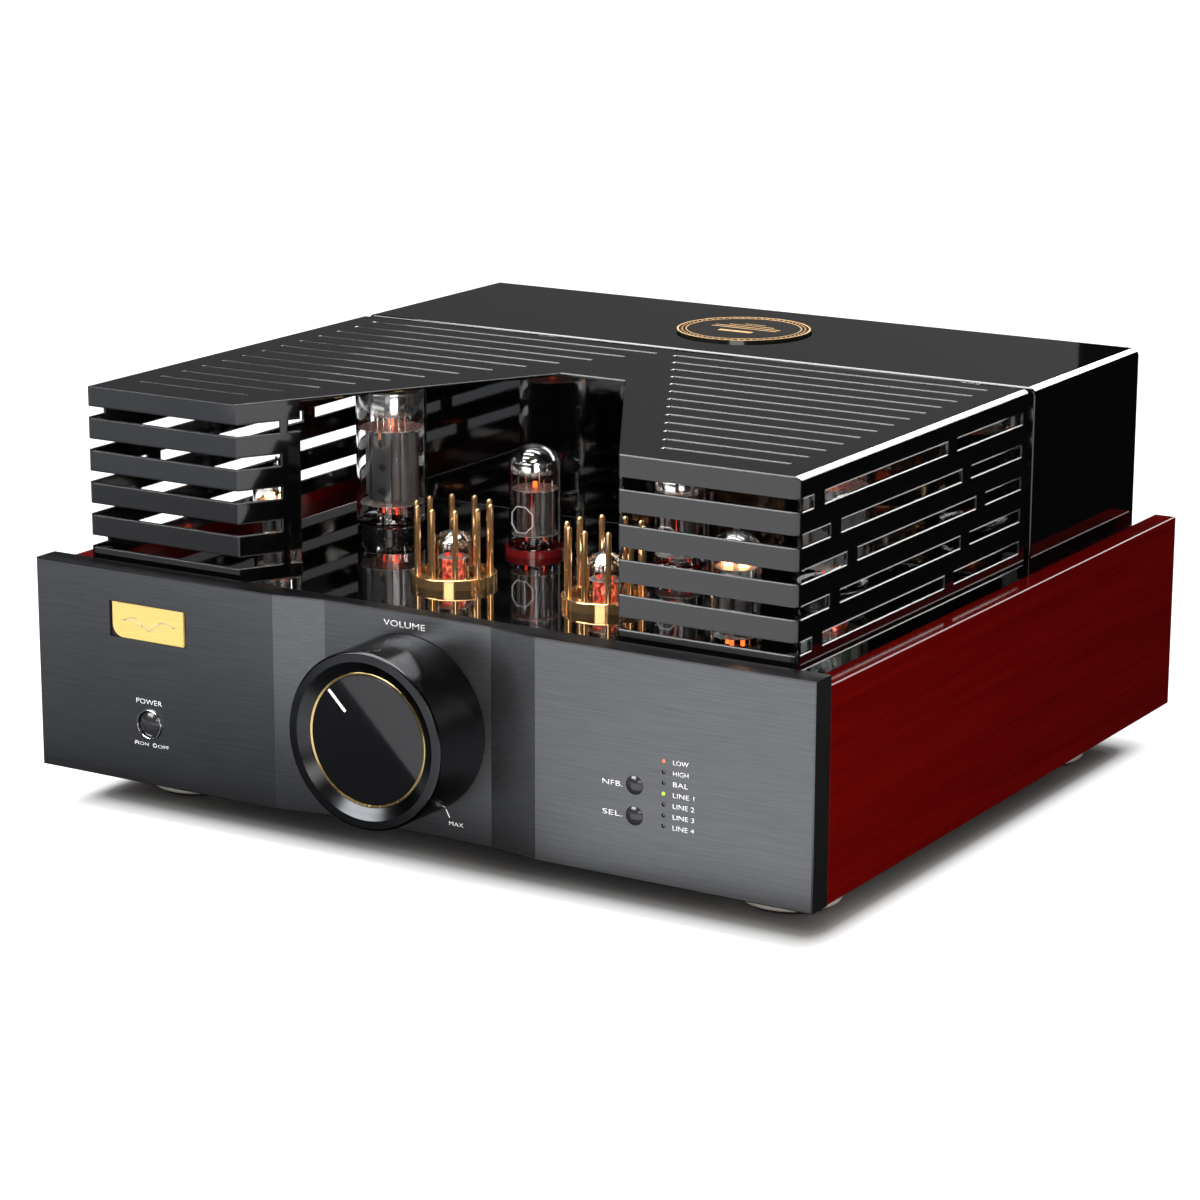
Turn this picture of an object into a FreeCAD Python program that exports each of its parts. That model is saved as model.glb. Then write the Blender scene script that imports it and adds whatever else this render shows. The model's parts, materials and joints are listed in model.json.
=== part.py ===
import FreeCAD, Part
import Sketcher
import math
import os
import re

# A stereo tube amplifier. Millimetres, +Z up, +Y towards the back. The origin is on the floor, in the
# middle of the whole outline. Most places are given from the case corner line: the bottom edge of the
# front panel's front face, which is foot_height above the floor.

SIZES = {
    # case
    "case_width": 420.0,
    "case_depth": 386.5,
    "panel_height": 102.5,
    "panel_thickness": 14.0,
    "wood_height": 98.0,
    "wood_thickness": 11.6,
    "foot_height": 20.5,
    "foot_radius": 23.2,
    "pad_height": 2.0,
    "foot_side": 165.0,
    "front_foot_depth": 65.0,
    "rear_foot_depth": 326.0,
    "sheet_metal": 1.5,
    "deck_thickness": 2.0,
    "deck_height": 90.5,
    "knob_reach": 30.0,
    "terminal_reach": 22.0,
    # front panel recess, badge and holes
    "recess_outer": 71.0,
    "recess_inner": 45.0,
    "recess_depth": 4.6,
    "badge_left": 166.2,
    "badge_right": 121.0,
    "badge_bottom": 70.0,
    "badge_height": 17.2,
    "badge_pocket": 1.6,
    "panel_chamfer": 0.6,
    "power_side": 144.0,
    "power_level": 29.7,
    "power_ring_radius": 7.3,
    "power_button_radius": 6.2,
    "button_side": 122.1,
    "feedback_level": 43.3,
    "source_level": 29.4,
    "button_radius": 4.1,
    "button_proud": 1.2,
    "lamp_side": 136.7,
    "lamp_level": 27.2,
    "lamp_pitch": 4.9,
    "lamp_radius": 1.0,
    # volume control
    "knob_level": 51.2,
    "knob_radius": 41.0,
    "dial_radius": 29.8,
    "dial_ring_radius": 31.1,
    "dial_depth": 3.0,
    "shaft_radius": 3.0,
    "pot_radius": 12.5,
    "pot_length": 24.5,
    "running_gap": 0.05,
    # tube cage
    "cage_half": 191.3,
    "cage_front": 18.0,
    "cage_back": 244.5,
    "cage_bottom": 99.5,
    "cover_top": 184.5,
    "notch_front_half": 102.8,
    "notch_rear_half": 18.0,
    "notch_rear": 164.3,
    "wing_return": 32.0,
    "wing_slot": 22.0,
    "slot_height": 5.6,
    "slot_pitch": 15.6,
    "first_slot_top": 174.7,
    "slot_gap": 9.6,
    "top_slot_width": 2.8,
    "top_slot_pitch": 16.1,
    "top_slot_first": 39.5,
    "top_slot_outer": 174.7,
    "cage_pad_radius": 3.5,
    # transformer cover
    "cover_half": 191.7,
    "cover_front": 251.0,
    "cover_back": 374.0,
    "cover_round": 4.0,
    "medallion_radius": 35.0,
    "medallion_thickness": 1.2,
    "medallion_depth": 312.0,
    # tubes
    "power_tube_side": 125.0,
    "power_tube_depth": 175.0,
    "power_tube_radius": 17.7,
    "power_tube_height": 84.0,
    "octal_side": 41.0,
    "octal_depth": 177.0,
    "octal_radius": 13.0,
    "octal_height": 54.5,
    "guard_side": 42.2,
    "guard_depth": 106.5,
    "guard_radius": 20.7,
    "guard_height": 38.5,
    "guard_ring_height": 5.0,
    "guard_pin_radius": 1.4,
    "small_radius": 9.2,
    "small_height": 25.5,
    "front_tube_side": 126.5,
    "front_tube_depth": 80.0,
    "front_tube_radius": 11.5,
    "front_tube_height": 51.0,
    "glass_wall": 1.0,
    "socket_drop": 10.5,
    # electrical pieces
    "mains_unit": 16.0,
    "mains_stack": 60.0,
    "output_unit": 13.5,
    "output_stack": 46.0,
    "output_side": 125.0,
    "winding_gap": 0.2,
    "standoff_height": 20.0,
    "board_thickness": 1.6,
    "capacitor_radius": 17.5,
    "capacitor_height": 50.0,
    # rear connectors
    "inlet_side": 160.0,
    "connector_level": 46.0,
    "post_radius": 8.5,
    "stud_radius": 3.0,
    "plug_hole_radius": 2.05,
    "plug_mouth_radius": 2.65,
    "screw_corner_radius": 3.2,
    "screw_head_height": 1.6,
    "phono_radius": 4.15,
    "phono_pitch": 18.0,
    "phono_side": 18.0,
    "balanced_side": 130.0,
    "balanced_pitch": 34.0,
    # front panel holes and fits
    "knob_hole_radius": 9.0,
    "ring_clearance": 0.05,
    "button_clearance": 0.25,
    "lamp_clearance": 0.05,
    "badge_gap_left": 1.6,
    "badge_gap_right": 1.9,
    "badge_gap_below": 0.1,
    "badge_gap_above": 0.2,
    "badge_corner": 6.0,
    "badge_sunk": 0.3,
    "wood_round": 0.9,
    # chassis openings
    "bush_hole_radius": 4.6,
    "switch_hole_radius": 5.0,
    "wall_hole_length": 8.0,
    "wall_hole_start": 3.0,
    "window_inner": 6.0,
    "window_outer": 4.0,
    "window_low": 24.0,
    "window_high": 61.0,
    "window_depth": 5.0,
    "vent_inner": 60.0,
    "vent_outer": 120.0,
    "vent_first": 100.0,
    "vent_width": 4.0,
    "vent_run": 130.0,
    "standoff_side": 140.0,
    "standoff_front": 66.0,
    "standoff_rear": 234.0,
    "standoff_radius": 3.0,
    # deck and cover
    "octal_hole_radius": 15.4,
    "small_hole_gap": 1.3,
    "front_hole_gap": 0.6,
    "wire_hole_radius": 6.0,
    "wire_hole_back": 44.0,
    "cover_edge_round": 1.0,
    "cover_top_extra": 0.3,
    "medallion_edge": 0.4,
    # feet
    "foot_round_low": 1.5,
    "foot_round_high": 2.0,
    "foot_pad_inset": 4.0,
    # cage details
    "cage_round": 3.0,
    "slot_wrap": 13.0,
    "slot_run": 118.4,
    "slot_rear_margin": 6.0,
    "slot_wrap_half": 4.0,
    "slot_overrun": 3.0,
    "slot_inside": 12.0,
    "top_slot_front": 112.3,
    "top_slot_rear": 5.5,
    "cage_pad_rise": 6.0,
    "cage_pad_gap": 0.1,
    # knob details
    "shaft_clearance": 0.04,
    "shaft_socket": 11.0,
    "dial_seat": 2.2,
    "dial_seat_rise": 0.2,
    "dial_clearance": 0.02,
    "knob_lip": 4.6,
    "knob_edge_round": 1.2,
    "knob_flare": 0.6,
    "knob_panel_gap": 0.6,
    "knob_skirt": 6.0,
    "knob_hollow": 10.0,
    "knob_hub_radius": 12.0,
    "grub_level": 3.0,
    "grub_hole_radius": 1.55,
    "grub_radius": 1.5,
    "grub_length": 8.0,
    "grub_socket_radius": 0.75,
    "grub_socket_depth": 3.0,
    "glass_clearance": 0.05,
    "dial_bevel": 0.3,
    "pointer_width": 1.3,
    "pointer_thickness": 0.25,
    "pointer_length": 12.6,
    # volume control
    "thread_radius": 4.5,
    "thread_start": 7.0,
    "pot_wall": 2.0,
    "nut_radius": 6.9,
    "nut_height": 2.2,
    "nut_bore_radius": 4.55,
    # power button
    "ring_width": 0.9,
    "power_stem_radius": 2.5,
    "power_dome": 2.0,
    "switch_half": 8.0,
    "switch_depth": 22.0,
    "switch_bore_radius": 2.6,
    # selector board
    "small_stem_radius": 1.5,
    "board_setback": 5.5,
    "small_switch_half": 3.5,
    "small_switch_depth": 4.0,
    "card_inner": 13.0,
    "card_outer": 12.0,
    "card_low": 18.0,
    "card_high": 66.0,
    "card_spacer_radius": 2.4,
    "card_spacer_inset": 3.0,
    "lamp_dome": 0.8,
    # octal bases and sockets
    "octal_pin_circle": 8.7,
    "octal_pin_radius": 1.1,
    "octal_pin_length": 11.0,
    "octal_contact_radius": 1.2,
    "octal_key_radius": 3.9,
    "octal_key_hole": 4.0,
    "octal_base_wall": 1.4,
    "octal_socket_radius": 16.5,
    "octal_socket_height": 13.0,
    "nine_pin_height": 9.0,
    "nine_pin_bore": 2.0,
    "guarded_drop": 16.0,
    "front_drop": 8.0,
    "dome_share": 0.62,
    "shoulder_rise": 3.2,
    "support_radius": 0.5,
    "mica_thickness": 0.7,
    "anode_share": 0.52,
    "support_share": 0.36,
    "stem_share": 0.2,
    # guard rings
    "guard_ring_width": 5.0,
    "guard_edge_round": 0.8,
    "guard_pin_inset": 1.1,
    "guard_first_angle": 54.0,
    # tube seats
    "power_glass_lift": 3.0,
    "power_neck": 13.2,
    "power_mica_low": 16.0,
    "power_mica_high": 54.0,
    "power_base_radius": 14.8,
    "power_base_height": 4.5,
    "octal_glass_lift": 2.0,
    "octal_neck": 12.4,
    "octal_mica_low": 9.4,
    "octal_mica_high": 32.2,
    "octal_base_radius": 15.0,
    "octal_base_height": 3.5,
    "neck_inset": 0.8,
    "guarded_socket_radius": 11.0,
    "front_socket_radius": 12.5,
    # main board
    "card_half": 150.0,
    "card_front": 60.0,
    "card_rear": 240.0,
    "can_depth": 216.0,
    "can_inner": 45.0,
    "can_outer": 90.0,
    "can_groove": 0.8,
    "can_round": 1.5,
    # rear openings
    "inlet_hole_half": 13.7,
    "inlet_hole_rise": 10.2,
    "post_hole_gap": 1.1,
    "phono_hole_radius": 3.2,
    "phono_row": 12.0,
    "balanced_hole_radius": 11.8,
    # mains inlet
    "inlet_half": 13.5,
    "inlet_rise": 10.0,
    "inlet_depth": 16.0,
    "flange_half": 20.0,
    "flange_rise": 12.0,
    "flange_thickness": 2.5,
    "cavity_half": 12.0,
    "cavity_rise": 8.0,
    "cavity_depth": 14.0,
    "inlet_pin_pitch": 7.0,
    "inlet_pin_rise": 2.0,
    # speaker posts and sockets
    "stud_inside": 14.0,
    "stud_outside": 17.0,
    "stud_collar": 5.6,
    "plug_hole_bottom": 2.0,
    "stud_clearance": 0.06,
    "cap_back": 6.6,
    "cap_web": 17.4,
    "cap_round": 1.0,
    "groove_radius": 0.9,
    "jack_inside": 9.0,
    "jack_stem_radius": 3.1,
    "jack_flange_radius": 6.0,
    "jack_flange": 2.0,
    "jack_length": 10.4,
    "jack_bore_radius": 1.7,
    "plate_half": 13.0,
    "plate_rise": 15.5,
    "barrel_radius": 11.5,
    "barrel_inside": 20.0,
    "contact_radius": 1.5,
    "screw_inset_rear": 8.0,
    "screw_inset_under": 10.0,
}

TUBE_SIDES = {"left": "-1", "right": "1"}
LAMP_COUNT = 7
VENT_ROWS = 11
CAGE_ROWS = 5
TOP_SLOTS = 13
GUARD_PINS = 10
POINTER_ANGLE = 45.0

doc = FreeCAD.newDocument("TubeAmplifier")
sheet = doc.addObject("Spreadsheet::Sheet", "dims")
for line_number, (alias, size) in enumerate(SIZES.items(), start=1):
    sheet.set(f"A{line_number}", alias)
    sheet.set(f"B{line_number}", str(size))
    sheet.setAlias(f"B{line_number}", alias)
doc.recompute()

NODES = []
WORD = re.compile(r"[a-z_]+")
FRONT = "((knob_reach - terminal_reach - case_depth) / 2)"
ALONG_Y = FreeCAD.Rotation(FreeCAD.Vector(1, 0, 0), -90)
UPRIGHT = FreeCAD.Rotation()


# ---------------------------------------------------------------- expressions

def bound(expression):
    """The expression with every size name turned into a reference to the sheet."""
    def reference(found):
        return "dims." + found.group(0) if found.group(0) in SIZES else found.group(0)
    return WORD.sub(reference, str(expression))


def value(expression):
    """The number that an expression of size names gives."""
    result = sheet.evalExpression(str(expression))
    return float(getattr(result, "Value", result))


def bind(piece, **properties):
    for name, expression in properties.items():
        piece.setExpression(name, bound(expression))


def place(piece, x="0", y="0", z="0", rotation=UPRIGHT):
    """Put a piece at a point measured from the case corner line."""
    piece.Placement = FreeCAD.Placement(FreeCAD.Vector(), rotation)
    piece.setExpression("Placement.Base.x", bound(x))
    piece.setExpression("Placement.Base.y", bound(f"{FRONT} + ({y})"))
    piece.setExpression("Placement.Base.z", bound(f"foot_height + ({z})"))
    return piece


def node(piece, label):
    """Name a finished piece; the label is also its file name."""
    piece.Label = label
    NODES.append(piece)
    return piece


# ---------------------------------------------------------------- Part pieces

def block(name, low, high):
    """A box between two corners."""
    piece = doc.addObject("Part::Box", name)
    bind(piece, Length=f"({high[0]}) - ({low[0]})", Width=f"({high[1]}) - ({low[1]})",
         Height=f"({high[2]}) - ({low[2]})")
    return place(piece, *low)


def rod(name, radius, length, start, rotation=UPRIGHT):
    """A cylinder that grows from its start point."""
    piece = doc.addObject("Part::Cylinder", name)
    bind(piece, Radius=radius, Height=length)
    return place(piece, *start, rotation=rotation)


def join(name, pieces):
    piece = doc.addObject("Part::MultiFuse", name)
    piece.Shapes = pieces
    return piece


def group(name, pieces):
    piece = doc.addObject("Part::Compound", name)
    piece.Links = pieces
    return piece


def cut(name, base, tools):
    piece = doc.addObject("Part::Cut", name)
    piece.Base = base
    piece.Tool = tools[0] if len(tools) == 1 else join(name + "_tools", tools)
    return piece


# ---------------------------------------------------------------- PartDesign pieces

def new_body(name):
    return doc.addObject("PartDesign::Body", name)


def new_sketch(body, role, offset="0"):
    """A sketch on one of the body's own origin planes, moved along the plane's normal."""
    sketch = body.newObject("Sketcher::SketchObject", body.Name + "_sketch")
    plane = next(item for item in body.Origin.OriginFeatures if item.Role == role)
    sketch.AttachmentSupport = [(plane, "")]
    sketch.MapMode = "FlatFace"
    sketch.setExpression("AttachmentOffset.Base.z", bound(offset))
    return sketch


def pin_point(sketch, geometry, position, x, y):
    """Tie a sketch point to the origin by two expressions."""
    for kind, expression, axis in (("DistanceX", x, -2), ("DistanceY", y, -1)):
        number = value(expression)
        if abs(number) < 1e-9:
            sketch.addConstraint(Sketcher.Constraint("PointOnObject", geometry, position, axis))
            continue
        constraint = Sketcher.Constraint(kind, -1, 1, geometry, position, number)
        index = sketch.addConstraint(constraint)
        sketch.setExpression(f"Constraints[{index}]", bound(expression))


def arc_through(start, end, radius):
    """The arc of a given radius; a positive one bulges to the right of start to end."""
    chord = end.sub(start)
    half = chord.Length / 2
    sagitta = abs(radius) - math.sqrt(max(radius * radius - half * half, 0.0))
    side = FreeCAD.Vector(chord.y, -chord.x, 0).normalize().multiply(math.copysign(sagitta, radius))
    return Part.Arc(start, start.add(end).multiply(0.5).add(side), end)


def add_outline(sketch, points):
    """A closed outline. A point is (x, y), or (x, y, radius) when an arc leads to it."""
    corners = [FreeCAD.Vector(value(point[0]), value(point[1]), 0) for point in points]
    first = sketch.GeometryCount
    count = len(points)
    for index in range(count):
        following = (index + 1) % count
        start, end = corners[index], corners[following]
        if len(points[following]) == 3:
            curve = arc_through(start, end, value(points[following][2]))
        else:
            curve = Part.LineSegment(start, end)
        sketch.addGeometry(curve, False)
    ends = {}
    for index, point in enumerate(points):
        here = first + index
        previous = first + (index - 1) % count
        starts = sketch.getPoint(here, 1).distanceToPoint(corners[index]) < 1e-6
        finishes = sketch.getPoint(previous, 2).distanceToPoint(corners[index]) < 1e-6
        ends[index] = (previous, 2 if finishes else 1, here, 1 if starts else 2)
    for index, point in enumerate(points):
        previous, end_position, here, start_position = ends[index]
        sketch.addConstraint(Sketcher.Constraint("Coincident", previous, end_position, here,
                                                 start_position))
        pin_point(sketch, here, start_position, point[0], point[1])
        if len(point) == 3:
            radius = value(point[2])
            number = sketch.addConstraint(Sketcher.Constraint("Radius", previous, abs(radius)))
            sketch.setExpression(f"Constraints[{number}]", bound(f"abs({point[2]})"))
    return sketch


def add_circle(sketch, x, y, radius):
    centre = FreeCAD.Vector(value(x), value(y), 0)
    geometry = sketch.addGeometry(Part.Circle(centre, FreeCAD.Vector(0, 0, 1), value(radius)), False)
    pin_point(sketch, geometry, 3, x, y)
    index = sketch.addConstraint(Sketcher.Constraint("Radius", geometry, value(radius)))
    sketch.setExpression(f"Constraints[{index}]", bound(radius))


def rectangle(low, high):
    return [(low[0], low[1]), (high[0], low[1]), (high[0], high[1]), (low[0], high[1])]


def feature(body, kind, sketch, **sizes):
    """Pad, Pocket or Revolution of a sketch."""
    step = body.newObject("PartDesign::" + kind, body.Name + "_" + kind.lower())
    step.Profile = sketch
    for name, expression in sizes.items():
        step.setExpression(name, bound(expression))
    body.Tip = step
    return step


def pad(body, sketch, length):
    return feature(body, "Pad", sketch, Length=length)


def pocket(body, sketch, length, reverse=False, both=False):
    step = feature(body, "Pocket", sketch, Length=length)
    step.Reversed = reverse
    step.Midplane = both
    return step


def revolve(body, sketch):
    step = feature(body, "Revolution", sketch)
    step.ReferenceAxis = (sketch, ["V_Axis"])
    step.Angle = 360
    return step


def repeat_round(body, steps, sketch, count):
    """Copy features evenly around the sketch normal."""
    pattern = body.newObject("PartDesign::PolarPattern", body.Name + "_pattern")
    pattern.Originals = steps
    pattern.Axis = (sketch, ["N_Axis"])
    pattern.Angle = 360
    pattern.Occurrences = count
    body.Tip = pattern
    return pattern


def mirror_sideways(body, steps):
    """Copy features to the other side of the middle plane."""
    plane = next(item for item in body.Origin.OriginFeatures if item.Role == "YZ_Plane")
    pattern = body.newObject("PartDesign::Mirrored", body.Name + "_mirror")
    pattern.Originals = steps
    pattern.MirrorPlane = (plane, [""])
    body.Tip = pattern
    return pattern


def soften(body, kind, size, test):
    """Fillet or chamfer the edges whose middle point passes a test."""
    doc.recompute()
    base = body.Tip
    names = []
    for index, edge in enumerate(base.Shape.Edges, start=1):
        middle = edge.valueAt((edge.FirstParameter + edge.LastParameter) / 2)
        if test(middle, edge):
            names.append(f"Edge{index}")
    step = body.newObject("PartDesign::" + kind, body.Name + "_" + kind.lower())
    step.Base = (base, names)
    step.setExpression("Radius" if kind == "Fillet" else "Size", bound(size))
    body.Tip = step
    return step


def near(a, b):
    return abs(a - b) < 1e-3


def turned(label, points, x="0", y="0", z="0"):
    """A piece of revolution about its own upright axis; points are (radius, height)."""
    body = new_body(label)
    revolve(body, add_outline(new_sketch(body, "XZ_Plane"), points))
    return place(body, x, y, z)


def turned_forward(label, points, x="0", y="0", z="0"):
    """A piece of revolution about an axis that runs front to back; points are (radius, depth)."""
    body = new_body(label)
    revolve(body, add_outline(new_sketch(body, "XY_Plane"), points))
    return place(body, x, y, z)


# ---------------------------------------------------------------- case

INNER_HALF = "(case_width / 2 - wood_thickness)"
DECK_BOTTOM = "(deck_height - deck_thickness)"
INSIDE_BACK = "(case_depth - sheet_metal)"
TUBE_HOLES = (
    ("power_tube_side", "power_tube_depth", "octal_hole_radius"),
    ("octal_side", "octal_depth", "octal_hole_radius"),
    ("guard_side", "guard_depth", "small_radius + small_hole_gap"),
    ("front_tube_side", "front_tube_depth", "front_tube_radius + front_hole_gap"),
)


def make_front_panel():
    body = new_body("front_panel")
    plan = [("-case_width / 2", "0"), ("-recess_outer", "0"), ("-recess_inner", "recess_depth"),
            ("recess_inner", "recess_depth"), ("recess_outer", "0"), ("case_width / 2", "0"),
            ("case_width / 2", "panel_thickness"), ("-case_width / 2", "panel_thickness")]
    pad(body, add_outline(new_sketch(body, "XY_Plane"), plan), "panel_height")

    def outer_rim(middle, edge):
        across = near(middle.z, 0) or near(middle.z, value("panel_height"))
        upright = near(abs(middle.x), value("case_width / 2")) and near(middle.y, 0)
        return upright or (across and middle.y < value("recess_depth") + 1e-3)
    soften(body, "Chamfer", "panel_chamfer", outer_rim)

    badge = rectangle(("-badge_left", "badge_bottom"), ("-badge_right", "badge_bottom + badge_height"))
    pocket(body, add_outline(new_sketch(body, "XZ_Plane"), badge), "badge_pocket")

    holes = new_sketch(body, "XZ_Plane")
    add_circle(holes, "-power_side", "power_level", "power_ring_radius + ring_clearance")
    add_circle(holes, "0", "knob_level", "knob_hole_radius")
    add_circle(holes, "button_side", "feedback_level", "button_radius + button_clearance")
    add_circle(holes, "button_side", "source_level", "button_radius + button_clearance")
    for index in range(LAMP_COUNT):
        add_circle(holes, "lamp_side", f"lamp_level + {index} * lamp_pitch", "lamp_radius")
    pocket(body, holes, "panel_thickness + 1")
    node(place(body), "front_panel")


def make_badge():
    """Thin plate with one large rounded lower corner."""
    body = new_body("badge_plate")
    left, right = "-badge_left + badge_gap_left", "-badge_right - badge_gap_right"
    low, high = "badge_bottom + badge_gap_below", "badge_bottom + badge_height - badge_gap_above"
    shape = [(f"{left} + badge_corner", low, "badge_corner"), (right, low), (right, high), (left, high),
             (left, f"{low} + badge_corner")]
    pad(body, add_outline(new_sketch(body, "XZ_Plane", "-badge_pocket"), shape),
        "badge_pocket - badge_sunk")
    node(place(body), "badge_plate")


def make_wood_side(label, sign):
    body = new_body(label)
    shape = rectangle(("panel_thickness", "0"), ("case_depth", "wood_height"))
    pad(body, add_outline(new_sketch(body, "YZ_Plane"), shape), "wood_thickness")
    soften(body, "Fillet", "wood_round", lambda middle, edge: True)
    inner_edge = "-case_width / 2" if sign < 0 else INNER_HALF
    node(place(body, inner_edge), label)


def make_chassis():
    outer = block("frame_outer", (f"-{INNER_HALF}", "panel_thickness", "sheet_metal"),
                  (INNER_HALF, INSIDE_BACK, DECK_BOTTOM))
    inner = block("frame_inner", (f"-{INNER_HALF} + sheet_metal", "panel_thickness + sheet_metal", "0"),
                  (f"{INNER_HALF} - sheet_metal", "case_depth", "deck_height"))
    bush = rod("bush_hole", "bush_hole_radius", "wall_hole_length",
               ("0", "panel_thickness - wall_hole_start", "knob_level"), ALONG_Y)
    power = rod("power_hole", "switch_hole_radius", "wall_hole_length",
                ("-power_side", "panel_thickness - wall_hole_start", "power_level"), ALONG_Y)
    window = block("board_window", ("button_side - window_inner", "panel_thickness - wall_hole_start",
                                    "window_low"),
                   ("lamp_side + window_outer", "panel_thickness + window_depth", "window_high"))
    node(cut("chassis_frame", outer, [inner, bush, power, window]), "chassis_frame")


def make_bottom_plate():
    body = new_body("bottom_plate")
    shape = rectangle((f"-{INNER_HALF}", "panel_thickness"), (INNER_HALF, INSIDE_BACK))
    pad(body, add_outline(new_sketch(body, "XY_Plane"), shape), "sheet_metal")
    slot = new_sketch(body, "XY_Plane")
    for left, right in (("-vent_outer", "-vent_inner"), ("vent_inner", "vent_outer")):
        add_outline(slot, rectangle((left, "vent_first"), (right, "vent_first + vent_width")))
    first = pocket(body, slot, "sheet_metal * 2", reverse=True)
    rows = body.newObject("PartDesign::LinearPattern", "vent_rows")
    rows.Originals = [first]
    rows.Direction = (slot, ["V_Axis"])
    bind(rows, Length="vent_run")
    rows.Occurrences = VENT_ROWS
    body.Tip = rows
    standoffs = new_sketch(body, "XY_Plane", "sheet_metal")
    for side in ("-standoff_side", "0", "standoff_side"):
        for depth in ("standoff_front", "standoff_rear"):
            add_circle(standoffs, side, depth, "standoff_radius")
    pad(body, standoffs, "standoff_height")
    node(place(body), "bottom_plate")


def make_deck():
    body = new_body("deck_plate")
    shape = rectangle((f"-{INNER_HALF}", "panel_thickness"), (INNER_HALF, INSIDE_BACK))
    pad(body, add_outline(new_sketch(body, "XY_Plane"), shape), "deck_thickness")
    holes = new_sketch(body, "XY_Plane")
    for side, depth, radius in TUBE_HOLES:
        add_circle(holes, side, depth, radius)
        add_circle(holes, f"-{side}", depth, radius)
    for side in ("-output_side", "0", "output_side"):
        add_circle(holes, side, "medallion_depth + wire_hole_back", "wire_hole_radius")
    pocket(body, holes, "deck_thickness * 2", reverse=True)
    node(place(body, z=DECK_BOTTOM), "deck_plate")


def make_cover():
    body = new_body("transformer_cover")
    shape = rectangle(("-cover_half", "cover_front"), ("cover_half", "cover_back"))
    pad(body, add_outline(new_sketch(body, "XY_Plane"), shape), "cover_top - deck_height")
    top = value("cover_top - deck_height")
    side = value("cover_half")
    soften(body, "Fillet", "cover_round",
           lambda middle, edge: near(middle.z, top) and near(abs(middle.x), side))
    soften(body, "Fillet", "cover_edge_round",
           lambda middle, edge: near(middle.z, top) and near(middle.x, 0) or
           (near(abs(middle.x), side) and middle.z < top - 1 and middle.z > 1))
    hollow = rectangle(("-cover_half + sheet_metal", "cover_front + sheet_metal"),
                       ("cover_half - sheet_metal", "cover_back - sheet_metal"))
    pocket(body, add_outline(new_sketch(body, "XY_Plane"), hollow),
           "cover_top - deck_height - sheet_metal - cover_top_extra", reverse=True)
    node(place(body, z="deck_height"), "transformer_cover")
    round_plate = [("0", "0"), ("medallion_radius", "0"),
                   ("medallion_radius", "medallion_thickness - medallion_edge"),
                   ("medallion_radius - medallion_edge", "medallion_thickness"), ("0",
                                                                                  "medallion_thickness")]
    node(turned("cover_medallion", round_plate, "0", "medallion_depth", "cover_top"), "cover_medallion")


def make_feet():
    disc = [("0", "0"), ("foot_radius - foot_round_low", "0"), ("foot_radius", "foot_round_low",
                                                                "foot_round_low"),
            ("foot_radius", "foot_height - pad_height - foot_round_high"),
            ("foot_radius - foot_round_high", "foot_height - pad_height", "foot_round_high"),
            ("0", "foot_height - pad_height")]
    pad_disc = [("0", "0"), ("foot_radius - foot_pad_inset", "0"), ("foot_radius - foot_pad_inset",
                                                                    "pad_height"), ("0", "pad_height")]
    feet = []
    pads = []
    for side in ("-foot_side", "foot_side"):
        for depth in ("front_foot_depth", "rear_foot_depth"):
            feet.append(turned("foot", disc, side, depth, "pad_height - foot_height"))
            pads.append(turned("foot_pad", pad_disc, side, depth, "-foot_height"))
    node(group("foot_group", feet), "feet")
    node(group("foot_pad_group", pads), "foot_pads")


# ---------------------------------------------------------------- tube cage

EDGE_RUN = "(notch_rear - cage_front)"
EDGE_SHIFT = "(notch_front_half - notch_rear_half)"
EDGE_LENGTH = f"(sqrt({EDGE_RUN} * {EDGE_RUN} + {EDGE_SHIFT} * {EDGE_SHIFT}))"


def beside_notch(along, inwards, side="-1"):
    """A plan point at a distance along the notch edge, and inwards from it, on one side."""
    x = (f"({side}) * (notch_front_half - ({along}) * {EDGE_SHIFT} / {EDGE_LENGTH}"
         f" + ({inwards}) * {EDGE_RUN} / {EDGE_LENGTH})")
    y = f"cage_front + ({along}) * {EDGE_RUN} / {EDGE_LENGTH} + ({inwards}) * {EDGE_SHIFT} / {EDGE_LENGTH}"
    return (x, y)


def wall_corner(side):
    """Where the inner faces of the front wall and of the wing return meet."""
    x = (f"({side}) * (notch_front_half + sheet_metal * ({EDGE_LENGTH} - {EDGE_SHIFT}) / {EDGE_RUN})")
    return (x, "cage_front + sheet_metal")


def half_hollow(side):
    """The plan of the cage's inside on one side, from the back wall line to the notch."""
    outer = f"({side}) * (cage_half - sheet_metal)"
    return [(outer, "cage_back + 5"), (outer, "cage_front + sheet_metal"), wall_corner(side),
            beside_notch("wing_return", "sheet_metal", side), beside_notch("wing_return", "-3", side),
            (f"({side}) * notch_rear_half", "notch_rear - 6")]


def chevron(row):
    """How far back the posts of a slot row stand: the middle row's are the furthest back."""
    return f"({CAGE_ROWS // 2 - abs(row - CAGE_ROWS // 2)}) * slot_pitch"


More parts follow.
